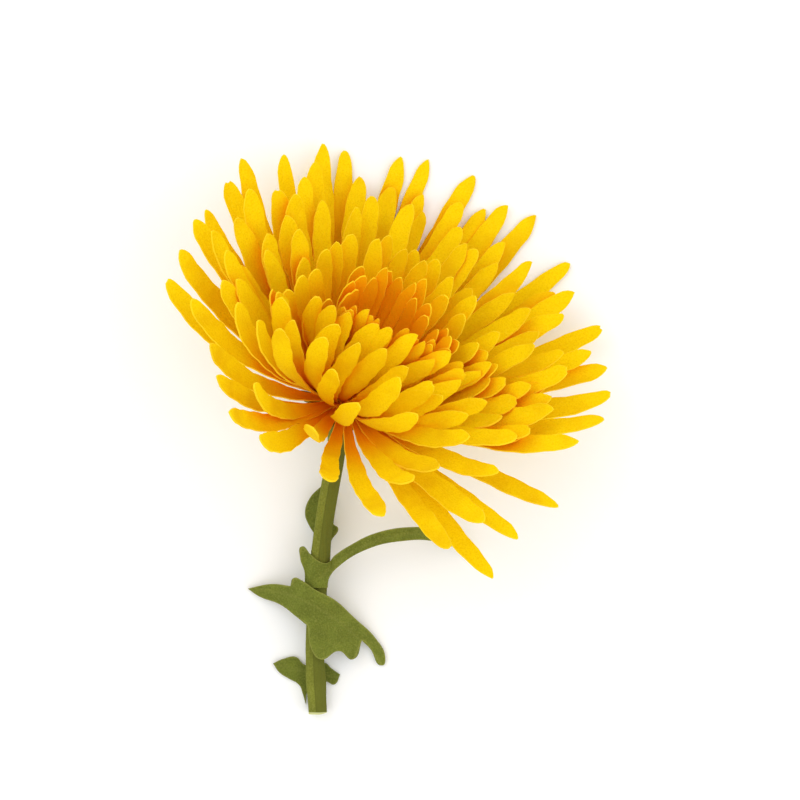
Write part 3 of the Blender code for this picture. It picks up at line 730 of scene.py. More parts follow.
def floret_rows(sizes):
    """The rule that places the ray florets, counted from the middle of the bloom."""
    draw = random.Random(sizes.floret_seed)
    finish = random.Random(FINISH_SEED)
    rows = []
    between = round(BETWEEN_FROM * sizes.floret_count), round(BETWEEN_TO * sizes.floret_count)
    places = [(index, 0.0) for index in range(sizes.floret_count)]
    places += [(index + 0.5, 0.5 / TIERS) for index in range(*between)]
    for index, aside in places:
        share = (index + 0.5) / sizes.floret_count
        tier = tier_of(share) + aside
        azimuth = sizes.first_azimuth + index * GOLDEN_ANGLE
        length = grade(sizes.inner_length, sizes.outer_length, tier, LENGTH_POWER)
        length *= 1 + draw.uniform(-LENGTH_SPREAD, LENGTH_SPREAD)
        length *= 1 + LENGTH_SWAY * math.cos(azimuth - LENGTH_AZIMUTH)
        width = grade(sizes.inner_width, sizes.outer_width, share, WIDTH_POWER)
        width += sizes.extra_width * math.sin(math.pi * share)
        width *= 1 + draw.uniform(-WIDTH_SPREAD, WIDTH_SPREAD)
        root_lean = grade(*ROOT_LEAN, tier, ROOT_LEAN_POWER)
        root_lean += draw.uniform(-ROOT_LEAN_SPREAD, ROOT_LEAN_SPREAD)
        tip_lean = grade(*TIP_LEAN, tier, TIP_LEAN_POWER)
        tip_lean += draw.uniform(-TIP_LEAN_SPREAD, TIP_LEAN_SPREAD)
        side = draw.uniform(-SIDE_SPREAD, SIDE_SPREAD)
        twist = draw.uniform(-TWIST_SPREAD, TWIST_SPREAD)
        lop = LOP * share ** LOP_POWER * math.cos(azimuth - LOP_AZIMUTH)
        hanging = max(0.0, math.cos(azimuth - SAG_AZIMUTH)) ** SAG_NARROWNESS
        sag = SAG * share ** SAG_POWER * hanging
        front = math.sin(math.pi * min(1.0, tier / FRONT_REACH)) ** FRONT_EASE
        front *= max(0.0, math.cos(azimuth - FRONT_AZIMUTH))
        push = FRONT_PUSH * front
        length *= 1 + grade(*FRONT_LENGTH, tier) * front
        inner, outer = ROOT_RADIUS
        radius = math.sqrt(inner ** 2 + (outer ** 2 - inner ** 2) * share)
        height = grade(ROOT_HEIGHT, 0.0, share, ROOT_HEIGHT_POWER)
        start = leaning(azimuth, root_lean + lop + SAG_AT_ROOT * sag, PUSH_AT_ROOT * push)
        end = leaning(azimuth + side, tip_lean + lop + SAG_AT_TIP * sag, PUSH_AT_TIP * push)
        arc = arc_row(azimuth, radius, height, start, end)
        rows.append({
            **arc,
            "length": length,
            "width": width,
            "roll": twist + roll_to_light(arc),
            "notch": sizes.notch_depth * max(0.0, finish.uniform(-1.0, 1.0)),
            "skew": finish.uniform(-1.0, 1.0),
            "phase": finish.uniform(0.0, math.tau),
            "tint": finish.uniform(-1.0, 1.0),
            "layer": share,
        })
    return rows


def bract_rows():
    """The rows of bracts on the cup, each row set between the bracts of the one below."""
    finish = random.Random(FINISH_SEED + 1)
    rows = []
    for row, (radius, height, length, width, root_lean, tip_lean) in enumerate(BRACT_ROWS):
        for index in range(BRACTS_IN_A_ROW):
            azimuth = (index + row / len(BRACT_ROWS)) * math.tau / BRACTS_IN_A_ROW
            rows.append({
                **arc_row(azimuth, radius * MM, height * MM,
                          leaning(azimuth, root_lean), leaning(azimuth, tip_lean)),
                "length": length * MM,
                "width": width * MM,
                "roll": 0.0,
                "notch": 0.0,
                "skew": 0.0,
                "phase": finish.uniform(0.0, math.tau),
                "tint": finish.uniform(-1.0, 1.0),
                "layer": row / len(BRACT_ROWS),
            })
    return rows


def wave(share, phase, u, rates):
    """A wave along a blade that differs from blade to blade and from side to side."""
    along, shift, aside = rates
    return (share * along + phase * shift + u * aside).sin()


def blade_tree():
    """A tree that gives every point a blade: an arc that leaves the bloom's axis."""
    number, vector = "NodeSocketFloat", "FLOAT_VECTOR"
    tree, points, term = new_tree("blades", (
        ("Columns", "NodeSocketInt", 9),
        ("Rows", "NodeSocketInt", 22),
        ("Root width", number, 0.32),
        ("Full width at", number, 0.72),
        ("Widening", number, 1.2),
        ("Taper", number, 0.15),
        ("Outer taper", number, 0.0),
        ("Slant", number, 0.0),
        ("Waviness", number, 0.0),
        ("Meander", number, 0.0),
        ("Round tip", number, 3.0 * MM),
        ("Channel", number, 0.26),
        ("Ripple", number, 0.0),
        ("Thickness", number, 0.5 * MM),
        ("Material", "NodeSocketMaterial", None),
    ))
    grid = add_node(tree, "GeometryNodeMeshGrid", {
        "Size X": 2.0, "Size Y": 1.0, "Vertices X": term["Columns"], "Vertices Y": term["Rows"]})
    spread = add_node(tree, "GeometryNodeInstanceOnPoints",
                      {"Points": points, "Instance": grid.outputs["Mesh"]})
    blades = add_node(tree, "GeometryNodeRealizeInstances", {"Geometry": spread.outputs[0]})
    x, y, _ = position(tree).parts()

    # Across the blade u runs from -1 to 1, and reach from its root to its end
    u = (x * (math.pi / 2)).sin()
    reach = y + 0.5
    length = named(tree, "length")
    rounding = term["Round tip"] / length * (1 - (1 - u * u).at_least(0.0).root())
    notch = named(tree, "notch") / length * (1 - u.size() / NOTCH_REACH).at_least(0.0)
    slant = term["Slant"] / length * (named(tree, "skew") * u).at_least(0.0)
    share = reach * (1 - rounding - notch - slant)

    # The arc
    start, finish = named(tree, "start", vector), named(tree, "finish", vector)
    turn, around = named(tree, "turn"), named(tree, "around", vector)
    early, late = turn * (1 - share), turn * share
    run = start * (early.cos() - turn.cos()) + finish * (1 - late.cos())
    middle = named(tree, "root", vector) + run * (length / (turn * turn.sin()))
    along = (start * early.sin() + finish * late.sin()).unit()
    level = (around - along * around.dot(along)).unit()
    face = level.cross(along)
    roll = named(tree, "roll") * share ** ROLL_POWER
    across = level * roll.cos() + face * roll.sin()
    facing = face * roll.cos() - level * roll.sin()

    # The outline and the hollow
    widening = ((share / term["Full width at"]).at_most(1.0) * (math.pi / 2)).sin()
    widening = term["Root width"] + widening ** term["Widening"] * (1 - term["Root width"])
    beyond = ((share - term["Full width at"]) / (1 - term["Full width at"])).at_least(0.0)
    layer, phase = named(tree, "layer"), named(tree, "phase")
    taper = term["Taper"] + term["Outer taper"] * layer * layer
    outline = widening * (1 - taper * beyond * beyond)
    waves = wave(share, phase, u, EDGE_WAVE) + wave(share, phase, u, FINE_WAVE) * FINE_SHARE
    half_width = named(tree, "width") * 0.5 * outline * (waves * term["Waviness"] + 1)
    meander = term["Meander"] * share * wave(share, phase, u, MEANDER_WAVE)
    hollow = half_width * term["Channel"] * (u * u * 2.0 - 1.0)
    ripple = term["Ripple"] * share * wave(share, phase, u, RIPPLE_WAVE)

    # The lowest blades bend along the surface
    drop = half_width * (across.parts()[2].size() + term["Channel"]) + term["Thickness"]
    lowest = middle.parts()[2] - drop
    lift = (lowest + (lowest * lowest + FLOOR_SOFTNESS ** 2).root()) * 0.5 - lowest - FLOOR_PRESS
    side = half_width * u + meander
    place = middle + across * side + facing * (hollow + ripple) + combined(tree, 0.0, 0.0, lift)

    kept = store(tree, blades.outputs[0], "across", u)
    kept = store(tree, kept, "along", share)
    kept = store(tree, kept, "reach", reach)
    moved = add_node(tree, "GeometryNodeSetPosition", {"Geometry": kept, "Position": place})
    finish_tree(tree, moved.outputs[0], term["Material"])
    return tree


def blades(name, rows, values, thickness, material):
    """Run the blade tree over the rows and give the blades their thickness."""
    tree = bpy.data.node_groups.get("blades") or blade_tree()
    item = new_object(name, points_mesh(name, rows))
    add_tree(item, tree, {"Thickness": thickness, "Material": material, **values})
    wall = item.modifiers.new("thickness", "SOLIDIFY")
    wall.thickness = thickness
    wall.offset = 0.0
    return plain(item, name)


# Materials


def new_material(name):
    """A matt material, with its shader ready for a colour and a bump."""
    material = bpy.data.materials.new(name)
    material.use_nodes = True
    tree = material.node_tree
    shader = tree.nodes["Principled BSDF"]
    shader.inputs["Metallic"].default_value = 0.0
    shader.inputs["Roughness"].default_value = ROUGHNESS[name]
    shader.inputs["Specular IOR Level"].default_value = GLOSS
    return material, tree, shader


def finish_surface(tree, shader, colour, relief, depth):
    """Give a shader its colour and its bump."""
    feed(tree, shader.inputs["Base Color"], colour)
    bump = add_node(tree, "ShaderNodeBump", {"Height": relief, "Distance": depth})
    feed(tree, shader.inputs["Normal"], bump.outputs["Normal"])


def carried(tree, name):
    """A number that the surface carries, read by the material."""
    node = add_node(tree, "ShaderNodeAttribute", attribute_name=name)
    return Term(tree, node.outputs["Fac"])


def mixed(tree, share, first, second):
    """A colour between two colours, each a socket or a plain colour."""
    node = add_node(tree, "ShaderNodeMix", data_type="RGBA")
    sockets = {socket.name: socket for socket in node.inputs if socket.enabled}
    feed(tree, sockets["Factor"], share)
    for name, colour in (("A", first), ("B", second)):
        if not isinstance(colour, bpy.types.NodeSocket):
            colour = (*colour, 1.0)
        feed(tree, sockets[name], colour)
    return next(socket for socket in node.outputs if socket.enabled)


def noise(tree, place, scale, detail=2.0):
    inputs = {"Vector": place, "Scale": scale, "Detail": detail}
    return Term(tree, add_node(tree, "ShaderNodeTexNoise", inputs).outputs["Fac"])


def ranged(tree, value, low, high, kind="SMOOTHSTEP"):
    """0 below low, 1 above high."""
    inputs = {"Value": value, "From Min": low, "From Max": high}
    node = add_node(tree, "ShaderNodeMapRange", inputs, interpolation_type=kind)
    return Term(tree, node.outputs["Result"])


def object_place(tree):
    return Term(tree, add_node(tree, "ShaderNodeTexCoord").outputs["Object"])


def shade(colour, factor):
    """A plain colour made lighter or darker."""
    return tuple(min(1.0, part * factor) for part in colour)


def grained(tree, grain, colour, dark, light, shares):
    """A colour with darker and lighter specks, as paper has."""
    dark_share, light_share = shares
    colour = mixed(tree, (1 - ranged(tree, grain, *DARK_GRAIN)) * dark_share, colour, dark)
    return mixed(tree, ranged(tree, grain, *LIGHT_GRAIN) * light_share, colour, light)


def openness(tree, distance):
    """1 where nothing of the same piece is near, less between close petals."""
    node = add_node(tree, "ShaderNodeAmbientOcclusion", {"Distance": distance},
                    only_local=True, samples=OPENNESS_RAYS)
    return Term(tree, node.outputs["AO"])


def hollow_shade_mask(tree):
    """Where orange shade is painted: 1 on faces that look into the bloom's hollow and lie deep in it,
    0 outside.
    """
    place = head_frame()
    axis = place.to_3x3() @ Vector((0.0, 0.0, 1.0))
    coordinates = add_node(tree, "ShaderNodeTexCoord")
    offset = Term(tree, coordinates.outputs["Object"]) - place.translation
    height = offset.dot(axis)
    outward = offset - combined(tree, *axis) * height
    away = Term(tree, coordinates.outputs["Normal"]).dot(outward.unit())
    radius = outward.dot(outward).root()
    inner = 1 - ranged(tree, away, *HOLLOW_FACING)
    near = 1 - ranged(tree, radius + height * HOLLOW_SLOPE, *HOLLOW_REACH)
    return inner * near


def petal_material(colours):
    """Matt golden petal: painted orange shade at its root and between petals, a painted highlight at
    its thin edge, finely veined lengthwise.
    """
    material, tree, shader = new_material("petal")
    place = object_place(tree)
    along, across = carried(tree, "along"), carried(tree, "across")
    layer, tint = carried(tree, "layer"), carried(tree, "tint")

    # Painted shade, orange towards the root deep in the bloom and yellow further out, with darker
    # blotches and grain
    out = along * carried(tree, "length") * (1 / PETAL_REACH)
    root_shade = ranged(tree, out + tint * ROOT_SHADE_BY_TINT + layer * ROOT_SHADE_BY_LAYER, *ROOT_SHADE_RANGE)
    colour = mixed(tree, root_shade, colours.petal_root_shade, colours.petal)
    red, green, blue = shade(colours.petal, DEEPER)
    deeper = (red, green * DEEPER, blue)
    blotch = noise(tree, place, BLOTCH_SCALE) + tint * BLOTCH_BY_TINT
    colour = mixed(tree, ranged(tree, blotch, *BLOTCH_RANGE), colour, deeper)
    grain = noise(tree, place, GRAIN_SCALE)
    colour = grained(tree, grain, colour, deeper, colours.petal_fleck_and_highlight, PETAL_GRAIN)

    # Painted shade: orange where petals are close together and in the bloom's hollow
    close = 1 - ranged(tree, openness(tree, PETAL_GAP), *OPEN_RANGE, kind="LINEAR")
    colour = mixed(tree, close, colour, colours.petal_shade)
    colour = mixed(tree, hollow_shade_mask(tree) * HOLLOW_SHADE_SHARE, colour, colours.petal_shade)

    # A painted highlight along the rim, and veins that run from root to tip
    rim = ranged(tree, across.size(), *HIGHLIGHT_AT_SIDES)
    rim = rim.at_least(ranged(tree, carried(tree, "reach"), *HIGHLIGHT_AT_TIP))
    colour = mixed(tree, rim * HIGHLIGHT_SHARE, colour, colours.petal_fleck_and_highlight)
    stretch, run, change = STREAK_STRETCH
    streak = combined(tree, across * stretch, along * run, tint * change)
    streak = noise(tree, streak, STREAK_SCALE, STREAK_DETAIL)
    relief = streak * STREAK_RELIEF + grain * PETAL_GRAIN_RELIEF
    finish_surface(tree, shader, colour, relief, PETAL_BUMP)
    return material


def disc_material(colours):
    """Dark orange tubes, partly painted shade of the bloom's middle, with more painted shade at their
    foot, dusted with pollen.
    """
    material, tree, shader = new_material("disc")
    place = object_place(tree)
    # Painted shade at the foot of the tubes
    top = ranged(tree, carried(tree, "rise"), *DISC_FOOT_SHADE_FADE)
    colour = mixed(tree, top, shade(colours.disc, DISC_FOOT_SHADE), colours.disc)
    pollen = ranged(tree, noise(tree, place, POLLEN_SCALE), *POLLEN_RANGE)
    colour = mixed(tree, pollen * POLLEN_SHARE, colour, colours.petal)
    finish_surface(tree, shader, colour, noise(tree, place, DISC_GRAIN_SCALE), DISC_BUMP)
    return material


def green_material(name, colour, light):
    """A matt olive surface, mottled and finely grained."""
    material, tree, shader = new_material(name)
    place = object_place(tree)
    mottle = ranged(tree, noise(tree, place, MOTTLE_SCALE, MOTTLE_DETAIL), *MOTTLE_RANGE)
    base = mixed(tree, mottle, *(shade(colour, factor) for factor in MOTTLE_SHADES))
    grain = noise(tree, place, GRAIN_SCALE)
    base = grained(tree, grain, base, shade(colour, SPECK_AND_SIDE_SHADE), light, GREEN_GRAIN)
    return material, tree, shader, place, base, grain


def bract_material(colours):
    """The cup and the bracts: olive, with paler edges."""
    material, tree, shader, _, base, grain = green_material(
        "bract", colours.bract, colours.leaf_vein_and_highlight)
    rim = ranged(tree, carried(tree, "across").size(), *BRACT_RIM)
    base = mixed(tree, rim * BRACT_RIM_SHARE, base, colours.leaf_vein_and_highlight)
    finish_surface(tree, shader, base, grain, BRACT_BUMP)
    return material


def stem_material(colours):
    """The stem: lit on one side of a crease, shaded on the other, pale at its cut end."""
    material, tree, shader, place, base, grain = green_material(
        "stem", colours.stem, colours.leaf_vein_and_highlight)
    facet = carried(tree, "facet")
    # Painted light and shade: a lit side, a shaded side and a dark line of shade at the crease
    # between them
    shaded = ranged(tree, facet, *CREASE_EDGE) * SHADED_SHARE
    base = mixed(tree, shaded, base, shade(colours.stem, SPECK_AND_SIDE_SHADE))
    crease = (1 - ranged(tree, facet.size(), *CREASE_SHADE_LINE)) * CREASE_SHADE_SHARE
    base = mixed(tree, crease, base, shade(colours.stem, CREASE_SHADE))
    x, y, z = place.parts()
    base = mixed(tree, ranged(tree, y, *CUT_END, kind="LINEAR"), colours.pith, base)
    fibres = noise(tree, combined(tree, x, y * FIBRE_STRETCH, z), FIBRE_SCALE, FIBRE_DETAIL)
    finish_surface(tree, shader, base, fibres + grain * STEM_GRAIN_RELIEF, STEM_BUMP)
    return material


def leaf_material(colours):
    """The leaves: olive, with faint veins and a painted highlight along the cut edge."""
    material, tree, shader, _, base, grain = green_material(
        "leaf", colours.leaf, colours.leaf_vein_and_highlight)
    vein = ranged(tree, carried(tree, "vein"), *VEIN_RANGE)
    base = mixed(tree, vein * VEIN_SHARE, base, colours.leaf_vein_and_highlight)
    # A painted highlight along the cut edge
    rim = ranged(tree, carried(tree, "rim"), *LEAF_HIGHLIGHT)
    base = mixed(tree, rim * LEAF_HIGHLIGHT_SHARE, base, shade(colours.leaf_vein_and_highlight, LEAF_HIGHLIGHT_LIGHTNESS))
    finish_surface(tree, shader, base, grain, LEAF_BUMP)
    return material


def floor_material(colours):
    """A pale floor with hardly visible clouds."""
    material, tree, shader = new_material("floor")
    clouds = noise(tree, object_place(tree), CLOUD_SCALE)
    colour = mixed(tree, clouds, shade(colours.floor, CLOUD_SHADE), colours.floor)
    feed(tree, shader.inputs["Base Color"], colour)
    return material


def material_for(name, context):
    """The material of that name, made once."""
    makers = {
        "petal": petal_material, "disc": disc_material, "bract": bract_material,
        "stem": stem_material, "leaf": leaf_material, "floor": floor_material,
    }
    return bpy.data.materials.get(name) or makers[name](context.scene.flower_colours)


# Stem


def stem_line():
    """The stem's middle line, in the flower's own place."""
    place = head_frame()
    neck_end = place @ Vector((0.0, 0.0, CUP_BOTTOM - NECK_GAP))
    neck_start = place @ Vector((0.0, 0.0, CUP_BOTTOM - NECK_GAP - NECK_LENGTH))
    route = [Vector(point) * MM - CENTRE for point in STEM_ROUTE]
    return [*catmull_rom([*route, neck_start], STEM_STEPS), neck_end]


def stem_at(y, line):
    """The stem's middle at a given y, as x and z."""
    for lower, upper in zip(line, line[1:]):
        if lower.y <= y <= upper.y:
            place = lower.lerp(upper, (y - lower.y) / (upper.y - lower.y))
            return place.x, place.z
    nearest = line[0] if y < line[0].y else line[-1]
    return nearest.x, nearest.z


def stem_tree():
    """A tree that sweeps a ribbed profile along a curve and swells it at the nodes."""
    number = "NodeSocketFloat"
    tree, route, term = new_tree("ribbed stem", (
        ("Radius", number, 2.6 * MM),
        ("Growth", number, 0.0),
        ("Rib share", number, 0.05),
        ("Ribs", number, float(STEM_RIBS)),
        ("Lower node", number, 0.0),
        ("Upper node", number, 0.0),
        ("Sections", "NodeSocketInt", 150),
        ("Sides", "NodeSocketInt", 40),
        ("Material", "NodeSocketMaterial", None),
    ))
    even = add_node(tree, "GeometryNodeResampleCurve", {"Curve": route, "Count": term["Sections"]})
    turn = way_along(tree)
    circle = add_node(tree, "GeometryNodeCurvePrimitiveCircle",
                      {"Resolution": term["Sides"], "Radius": 1.0})
    rib = (turn * math.tau * term["Ribs"]).cos()
    facet = ((turn - STEM_CREASE) * math.tau).sin()
    profile = store(tree, circle.outputs["Curve"], "facet", facet)
    radius = term["Radius"] * (1 + term["Rib share"] * rib) + term["Growth"]
    place = position(tree)
    shaped = add_node(tree, "GeometryNodeSetPosition",
                      {"Geometry": profile, "Position": place * radius})
    swell = None
    for name in ("Lower node", "Upper node"):
        away = (place.parts()[1] - term[name]) / NODE_SPREAD
        bump = away.number("EXPONENT", away * away * -1.0)
        swell = bump if swell is None else swell + bump
    tube = add_node(tree, "GeometryNodeCurveToMesh", {
        "Curve": even.outputs[0], "Profile Curve": shaped.outputs[0],
        "Scale": swell * NODE_SWELL + 1.0, "Fill Caps": True})
    finish_tree(tree, tube.outputs[0], term["Material"])
    return tree


def stem_tube(name, sizes, growth, material):
    """The stem, thicker all round by the growth."""
    line = stem_line()
    curve = bpy.data.curves.new(name, "CURVE")
    curve.dimensions = "3D"
    spline = curve.splines.new("POLY")
    spline.points.add(len(line) - 1)
    for point, place in zip(spline.points, line):
        point.co = (*place, 1.0)
    item = new_object(name + "_route", curve)
    tree = bpy.data.node_groups.get("ribbed stem") or stem_tree()
    lower, upper = (place - CENTRE.y for place in NODE_PLACES)
    add_tree(item, tree, {
        "Radius": sizes.stem_radius, "Growth": growth, "Rib share": sizes.rib_share,
        "Ribs": float(STEM_RIBS), "Lower node": lower, "Upper node": upper, "Material": material})
    return plain(item, name)


# Leaves


def lobed_height(x, y, line, radius):
    """The lobed leaf lies over the stem like a saddle and comes down on both sides."""
    stem_x, stem_z = stem_at(y, line)
    ridge = stem_z + radius + LOBED_CLEARANCE
    return LEAF_REST + (ridge - LEAF_REST) * math.exp(-((x - stem_x) / LOBED_SADDLE) ** 2)


def arching_height(x, y, line, radius):
    """The sheath hugs the stem's upper side, and the blade arches over to the right."""
    stem_x, stem_z = stem_at(y, line)
    aside = x - stem_x
    roundness = max(SHEATH_FLATNESS, 1 - (aside / (radius + SHEATH_MARGIN)) ** 2)
    sheath = stem_z + (radius + SHEATH_CLEARANCE) * math.sqrt(roundness)
    share = min(1.0, max(0.0, (aside - radius) / ARCH_SPAN))
    return sheath + ARCH_RISE * math.sin(math.pi * share) - ARCH_DROP * share ** 2


def behind_height(x, y, line, radius):
    """The small leaf hangs just under the stem, with its sides a little lower."""
    stem_x, stem_z = stem_at(y, line)
    return stem_z - radius * (1 + NODE_SWELL) - BEHIND_CLEARANCE - BEHIND_BEND * (x - stem_x) ** 2


def lower_height(x, y, line, radius):
    """The lower leaf lies on the surface, with its tips a little raised."""
    stem_x, _ = stem_at(y, line)
    return LEAF_REST + LOWER_CURL * ((x - stem_x) / LOWER_SPAN) ** 4


def outline_block(name, outline):
    """A leaf's outline as a tall upright block."""
    curve = bpy.data.curves.new(name, "CURVE")
    curve.dimensions = "2D"
    curve.fill_mode = "BOTH"
    curve.extrude = OUTLINE_REACH
    curve.resolution_u = OUTLINE_STEPS
    spline = curve.splines.new("BEZIER")
    spline.bezier_points.add(len(outline) - 1)
    spline.use_cyclic_u = True
    for point, (x, y, *corner) in zip(spline.bezier_points, outline):
        point.co = (x * MM - CENTRE.x, y * MM - CENTRE.y, 0.0)
        point.handle_left_type = point.handle_right_type = CORNER if corner else SMOOTH
    item = new_object(name + "_curve", curve)
    bm = bmesh.new()
    bm.from_mesh(evaluated_mesh(item))
    close_up(bm)
    bpy.data.objects.remove(item, do_unlink=True)
    return new_object(name, mesh_from(bm, name))


def distance_to_line(x, y, line):
    """How far a point is from a line of points, as they are seen from above."""
    nearest = math.inf
    for start, end in zip(line, line[1:]):
        run = end - start
        away_x, away_y = x - start.x, y - start.y
        share = (away_x * run.x + away_y * run.y) / max(run.length_squared, SAME_PLACE ** 2)
        share = min(1.0, max(0.0, share))
        nearest = min(nearest, math.hypot(away_x - run.x * share, away_y - run.y * share))
    return nearest


def vein_at(x, y, veins, width):
    """1 on a vein and 0 away from it; side veins are thinner than the main one."""
    strength = 0.0
    for index, vein in enumerate(veins):
        share = SIDE_VEIN if index else 1.0
        away = distance_to_line(x, y, vein) / (width * share)
        strength = max(strength, share * math.exp(-away ** 2))
    return strength


def keep_largest_body(mesh):
    """Drop the loose scraps of a cut."""
    bm = bmesh.new()
    bm.from_mesh(mesh)
    waiting = set(bm.verts)
    bodies = []
    while waiting:
        body = set()
        front = [waiting.pop()]
        while front:
            vert = front.pop()
            body.add(vert)
            near = [edge.other_vert(vert) for edge in vert.link_edges]
            front += [other for other in near if other in waiting]
            waiting -= set(near)
        bodies.append(body)
    bodies.sort(key=len)
    scraps = [vert for body in bodies[:-1] for vert in body]
    bmesh.ops.delete(bm, geom=scraps, context="VERTS")
    bm.to_mesh(mesh)
    bm.free()


def add_boolean(item, operation, cutter):
    """Cut an object by another, or down to what both hold."""
    boolean = item.modifiers.new(operation.lower(), "BOOLEAN")
    boolean.operation = operation
    boolean.object = cutter
    boolean.solver = "MANIFOLD"


def leaf_line(points, steps):
    """A smooth line through points of a leaf's drawing."""
    return catmull_rom([Vector(point) * MM - CENTRE.xy for point in points], steps)


def make_leaf(name, outline, veins, height_rule, sizes, stem_cutter, material):
    """A veined sheet that follows its height rule, cut to its outline and clear of the stem."""
    line = stem_line()
    radius = sizes.stem_radius
    veins = [leaf_line(vein, VEIN_STEPS) for vein in veins]
    corners = [point[:2] for point in outline]
    rim_line = leaf_line([*corners, corners[0]], RIM_STEPS)
    low_x, low_y = (min(side) * MM - middle - LEAF_MARGIN
                    for side, middle in zip(zip(*corners), CENTRE))
    high_x, high_y = (max(side) * MM - middle + LEAF_MARGIN
                      for side, middle in zip(zip(*corners), CENTRE))
    bm = bmesh.new()
    bmesh.ops.create_grid(bm, x_segments=math.ceil((high_x - low_x) / sizes.leaf_cell),
                          y_segments=math.ceil((high_y - low_y) / sizes.leaf_cell), size=0.5)
    for vert in bm.verts:
        x = (low_x + high_x) / 2 + vert.co.x * (high_x - low_x)
        y = (low_y + high_y) / 2 + vert.co.y * (high_y - low_y)
        raised = sizes.vein_height * vein_at(x, y, veins, sizes.vein_width)
        vert.co = (x, y, height_rule(x, y, line, radius) + raised)
    bmesh.ops.triangulate(bm, faces=bm.faces)
    item = new_object(name + "_sheet", mesh_from(bm, name))
    wall = item.modifiers.new("wall", "SOLIDIFY")
    wall.thickness = sizes.leaf_thickness
    wall.offset = 0.0
    block = outline_block(name + "_outline", outline)
    add_boolean(item, "INTERSECT", block)
    add_boolean(item, "DIFFERENCE", stem_cutter)
    leaf = plain(item, name)
    bpy.data.objects.remove(block, do_unlink=True)
    keep_largest_body(leaf.data)
    places = [vert.co.xy for vert in leaf.data.vertices]
    carry(leaf.data, "vein", [vein_at(*place, veins, sizes.vein_width) for place in places])
    # where the painted highlight along the edge goes
    carry(leaf.data, "rim", [vein_at(*place, [rim_line], HIGHLIGHT_WIDTH) for place in places])
    leaf.data.materials.clear()
    leaf.data.materials.append(material)
    leaf.data.set_sharp_from_angle(angle=SHARP_ANGLE)
    return leaf


# Disc florets


def disc_tree():
    """A tree that stands a small flared tube on every point."""
    number = "NodeSocketFloat"
    tree, points, term = new_tree("disc florets", (
        ("Radius", number, 0.5 * MM),
        ("Sides", "NodeSocketInt", 7),
        ("Material", "NodeSocketMaterial", None),
    ))
    rod = add_node(tree, "GeometryNodeCurvePrimitiveLine",
                   {"Start": (0.0, 0.0, 0.0), "End": (0.0, 0.0, 1.0)})
    even = add_node(tree, "GeometryNodeResampleCurve",
                    {"Curve": rod.outputs[0], "Count": TUBE_SECTIONS})
    rise = way_along(tree)
    kept = store(tree, even.outputs[0], "rise", rise)
    lip = (rise * LIP_STEEPNESS - LIP_START).at_least(0.0)
    flare = rise * rise * TUBE_FLARE + TUBE_WAIST - lip * TUBE_LIP
    circle = add_node(tree, "GeometryNodeCurvePrimitiveCircle",
                      {"Resolution": term["Sides"], "Radius": 1.0})
    tube = add_node(tree, "GeometryNodeCurveToMesh", {
        "Curve": kept, "Profile Curve": circle.outputs["Curve"], "Scale": flare, "Fill Caps": True})
    turn = add_node(tree, "FunctionNodeEulerToRotation",
                    {0: combined(tree, 0.0, named(tree, "lean"), named(tree, "azimuth"))})
    size = combined(tree, term["Radius"], term["Radius"], named(tree, "height"))
    spread = add_node(tree, "GeometryNodeInstanceOnPoints", {
        "Points": points, "Instance": tube.outputs[0], "Rotation": turn.outputs[0], "Scale": size})
    finish_tree(tree, spread.outputs[0], term["Material"])
    return tree


def disc_rows(sizes):
    """The rule that places the disc florets on their dome, from its middle to its rim."""
    rows = []
    for index in range(sizes.disc_count):
        share = (index + 0.5) / sizes.disc_count
        azimuth = index * GOLDEN_ANGLE
        radius = DISC_RADIUS * math.sqrt(share)
        rows.append({
            "place": (radius * math.cos(azimuth), radius * math.sin(azimuth),
                      grade(*DISC_FLORET_PLACE, share) - DISC_SINK),
            "azimuth": azimuth,
            "lean": DISC_SPREAD * share,
            "height": grade(*DISC_FLORET_HEIGHT, share),
        })
    return rows


# Operators


class FLOWER_OT_petals(bpy.types.Operator):
    """Build the ray florets and the receptacle that they grow from"""

    bl_idname = "flower.petals"
    bl_label = "Petals"

    def execute(self, context):
        sizes = context.scene.bloom_sizes
        material = material_for("petal", context)
        values = {
            "Channel": sizes.channel, "Outer taper": sizes.taper, "Round tip": sizes.tip_length,
            "Slant": sizes.slant, "Waviness": sizes.waviness, "Meander": sizes.meander,
            "Ripple": sizes.ripple,
        }
        petals = blades("petals", floret_rows(sizes), values, sizes.floret_thickness, material)
        finish_piece(petals, "petal_yellow", "ray_florets")
        core = turned_piece("receptacle", CORE_PROFILE, CORE_SIDES, head_frame(), material)
        finish_piece(core, "petal_yellow", "ray_florets")
        return {"FINISHED"}


class FLOWER_OT_disc(bpy.types.Operator):
    """Build the disc florets in the middle of the bloom, with their dome"""

    bl_idname = "flower.disc"
    bl_label = "Disc florets"

    def execute(self, context):
        sizes = context.scene.bloom_sizes
        material = material_for("disc", context)
        base = head_frame() @ Matrix.Translation((0.0, 0.0, DISC_BASE))
        item = new_object("disc_points", points_mesh("disc_points", disc_rows(sizes)))
        item.matrix_world = base
        add_tree(item, disc_tree(), {"Radius": sizes.disc_radius, "Material": material})
        finish_piece(plain(item, "disc_tubes"), "disc_orange", "disc_florets")
        dome = turned_piece("disc_dome", DISC_PROFILE, DOME_SIDES, base, material)
        finish_piece(dome, "disc_orange", "disc_florets")
        return {"FINISHED"}


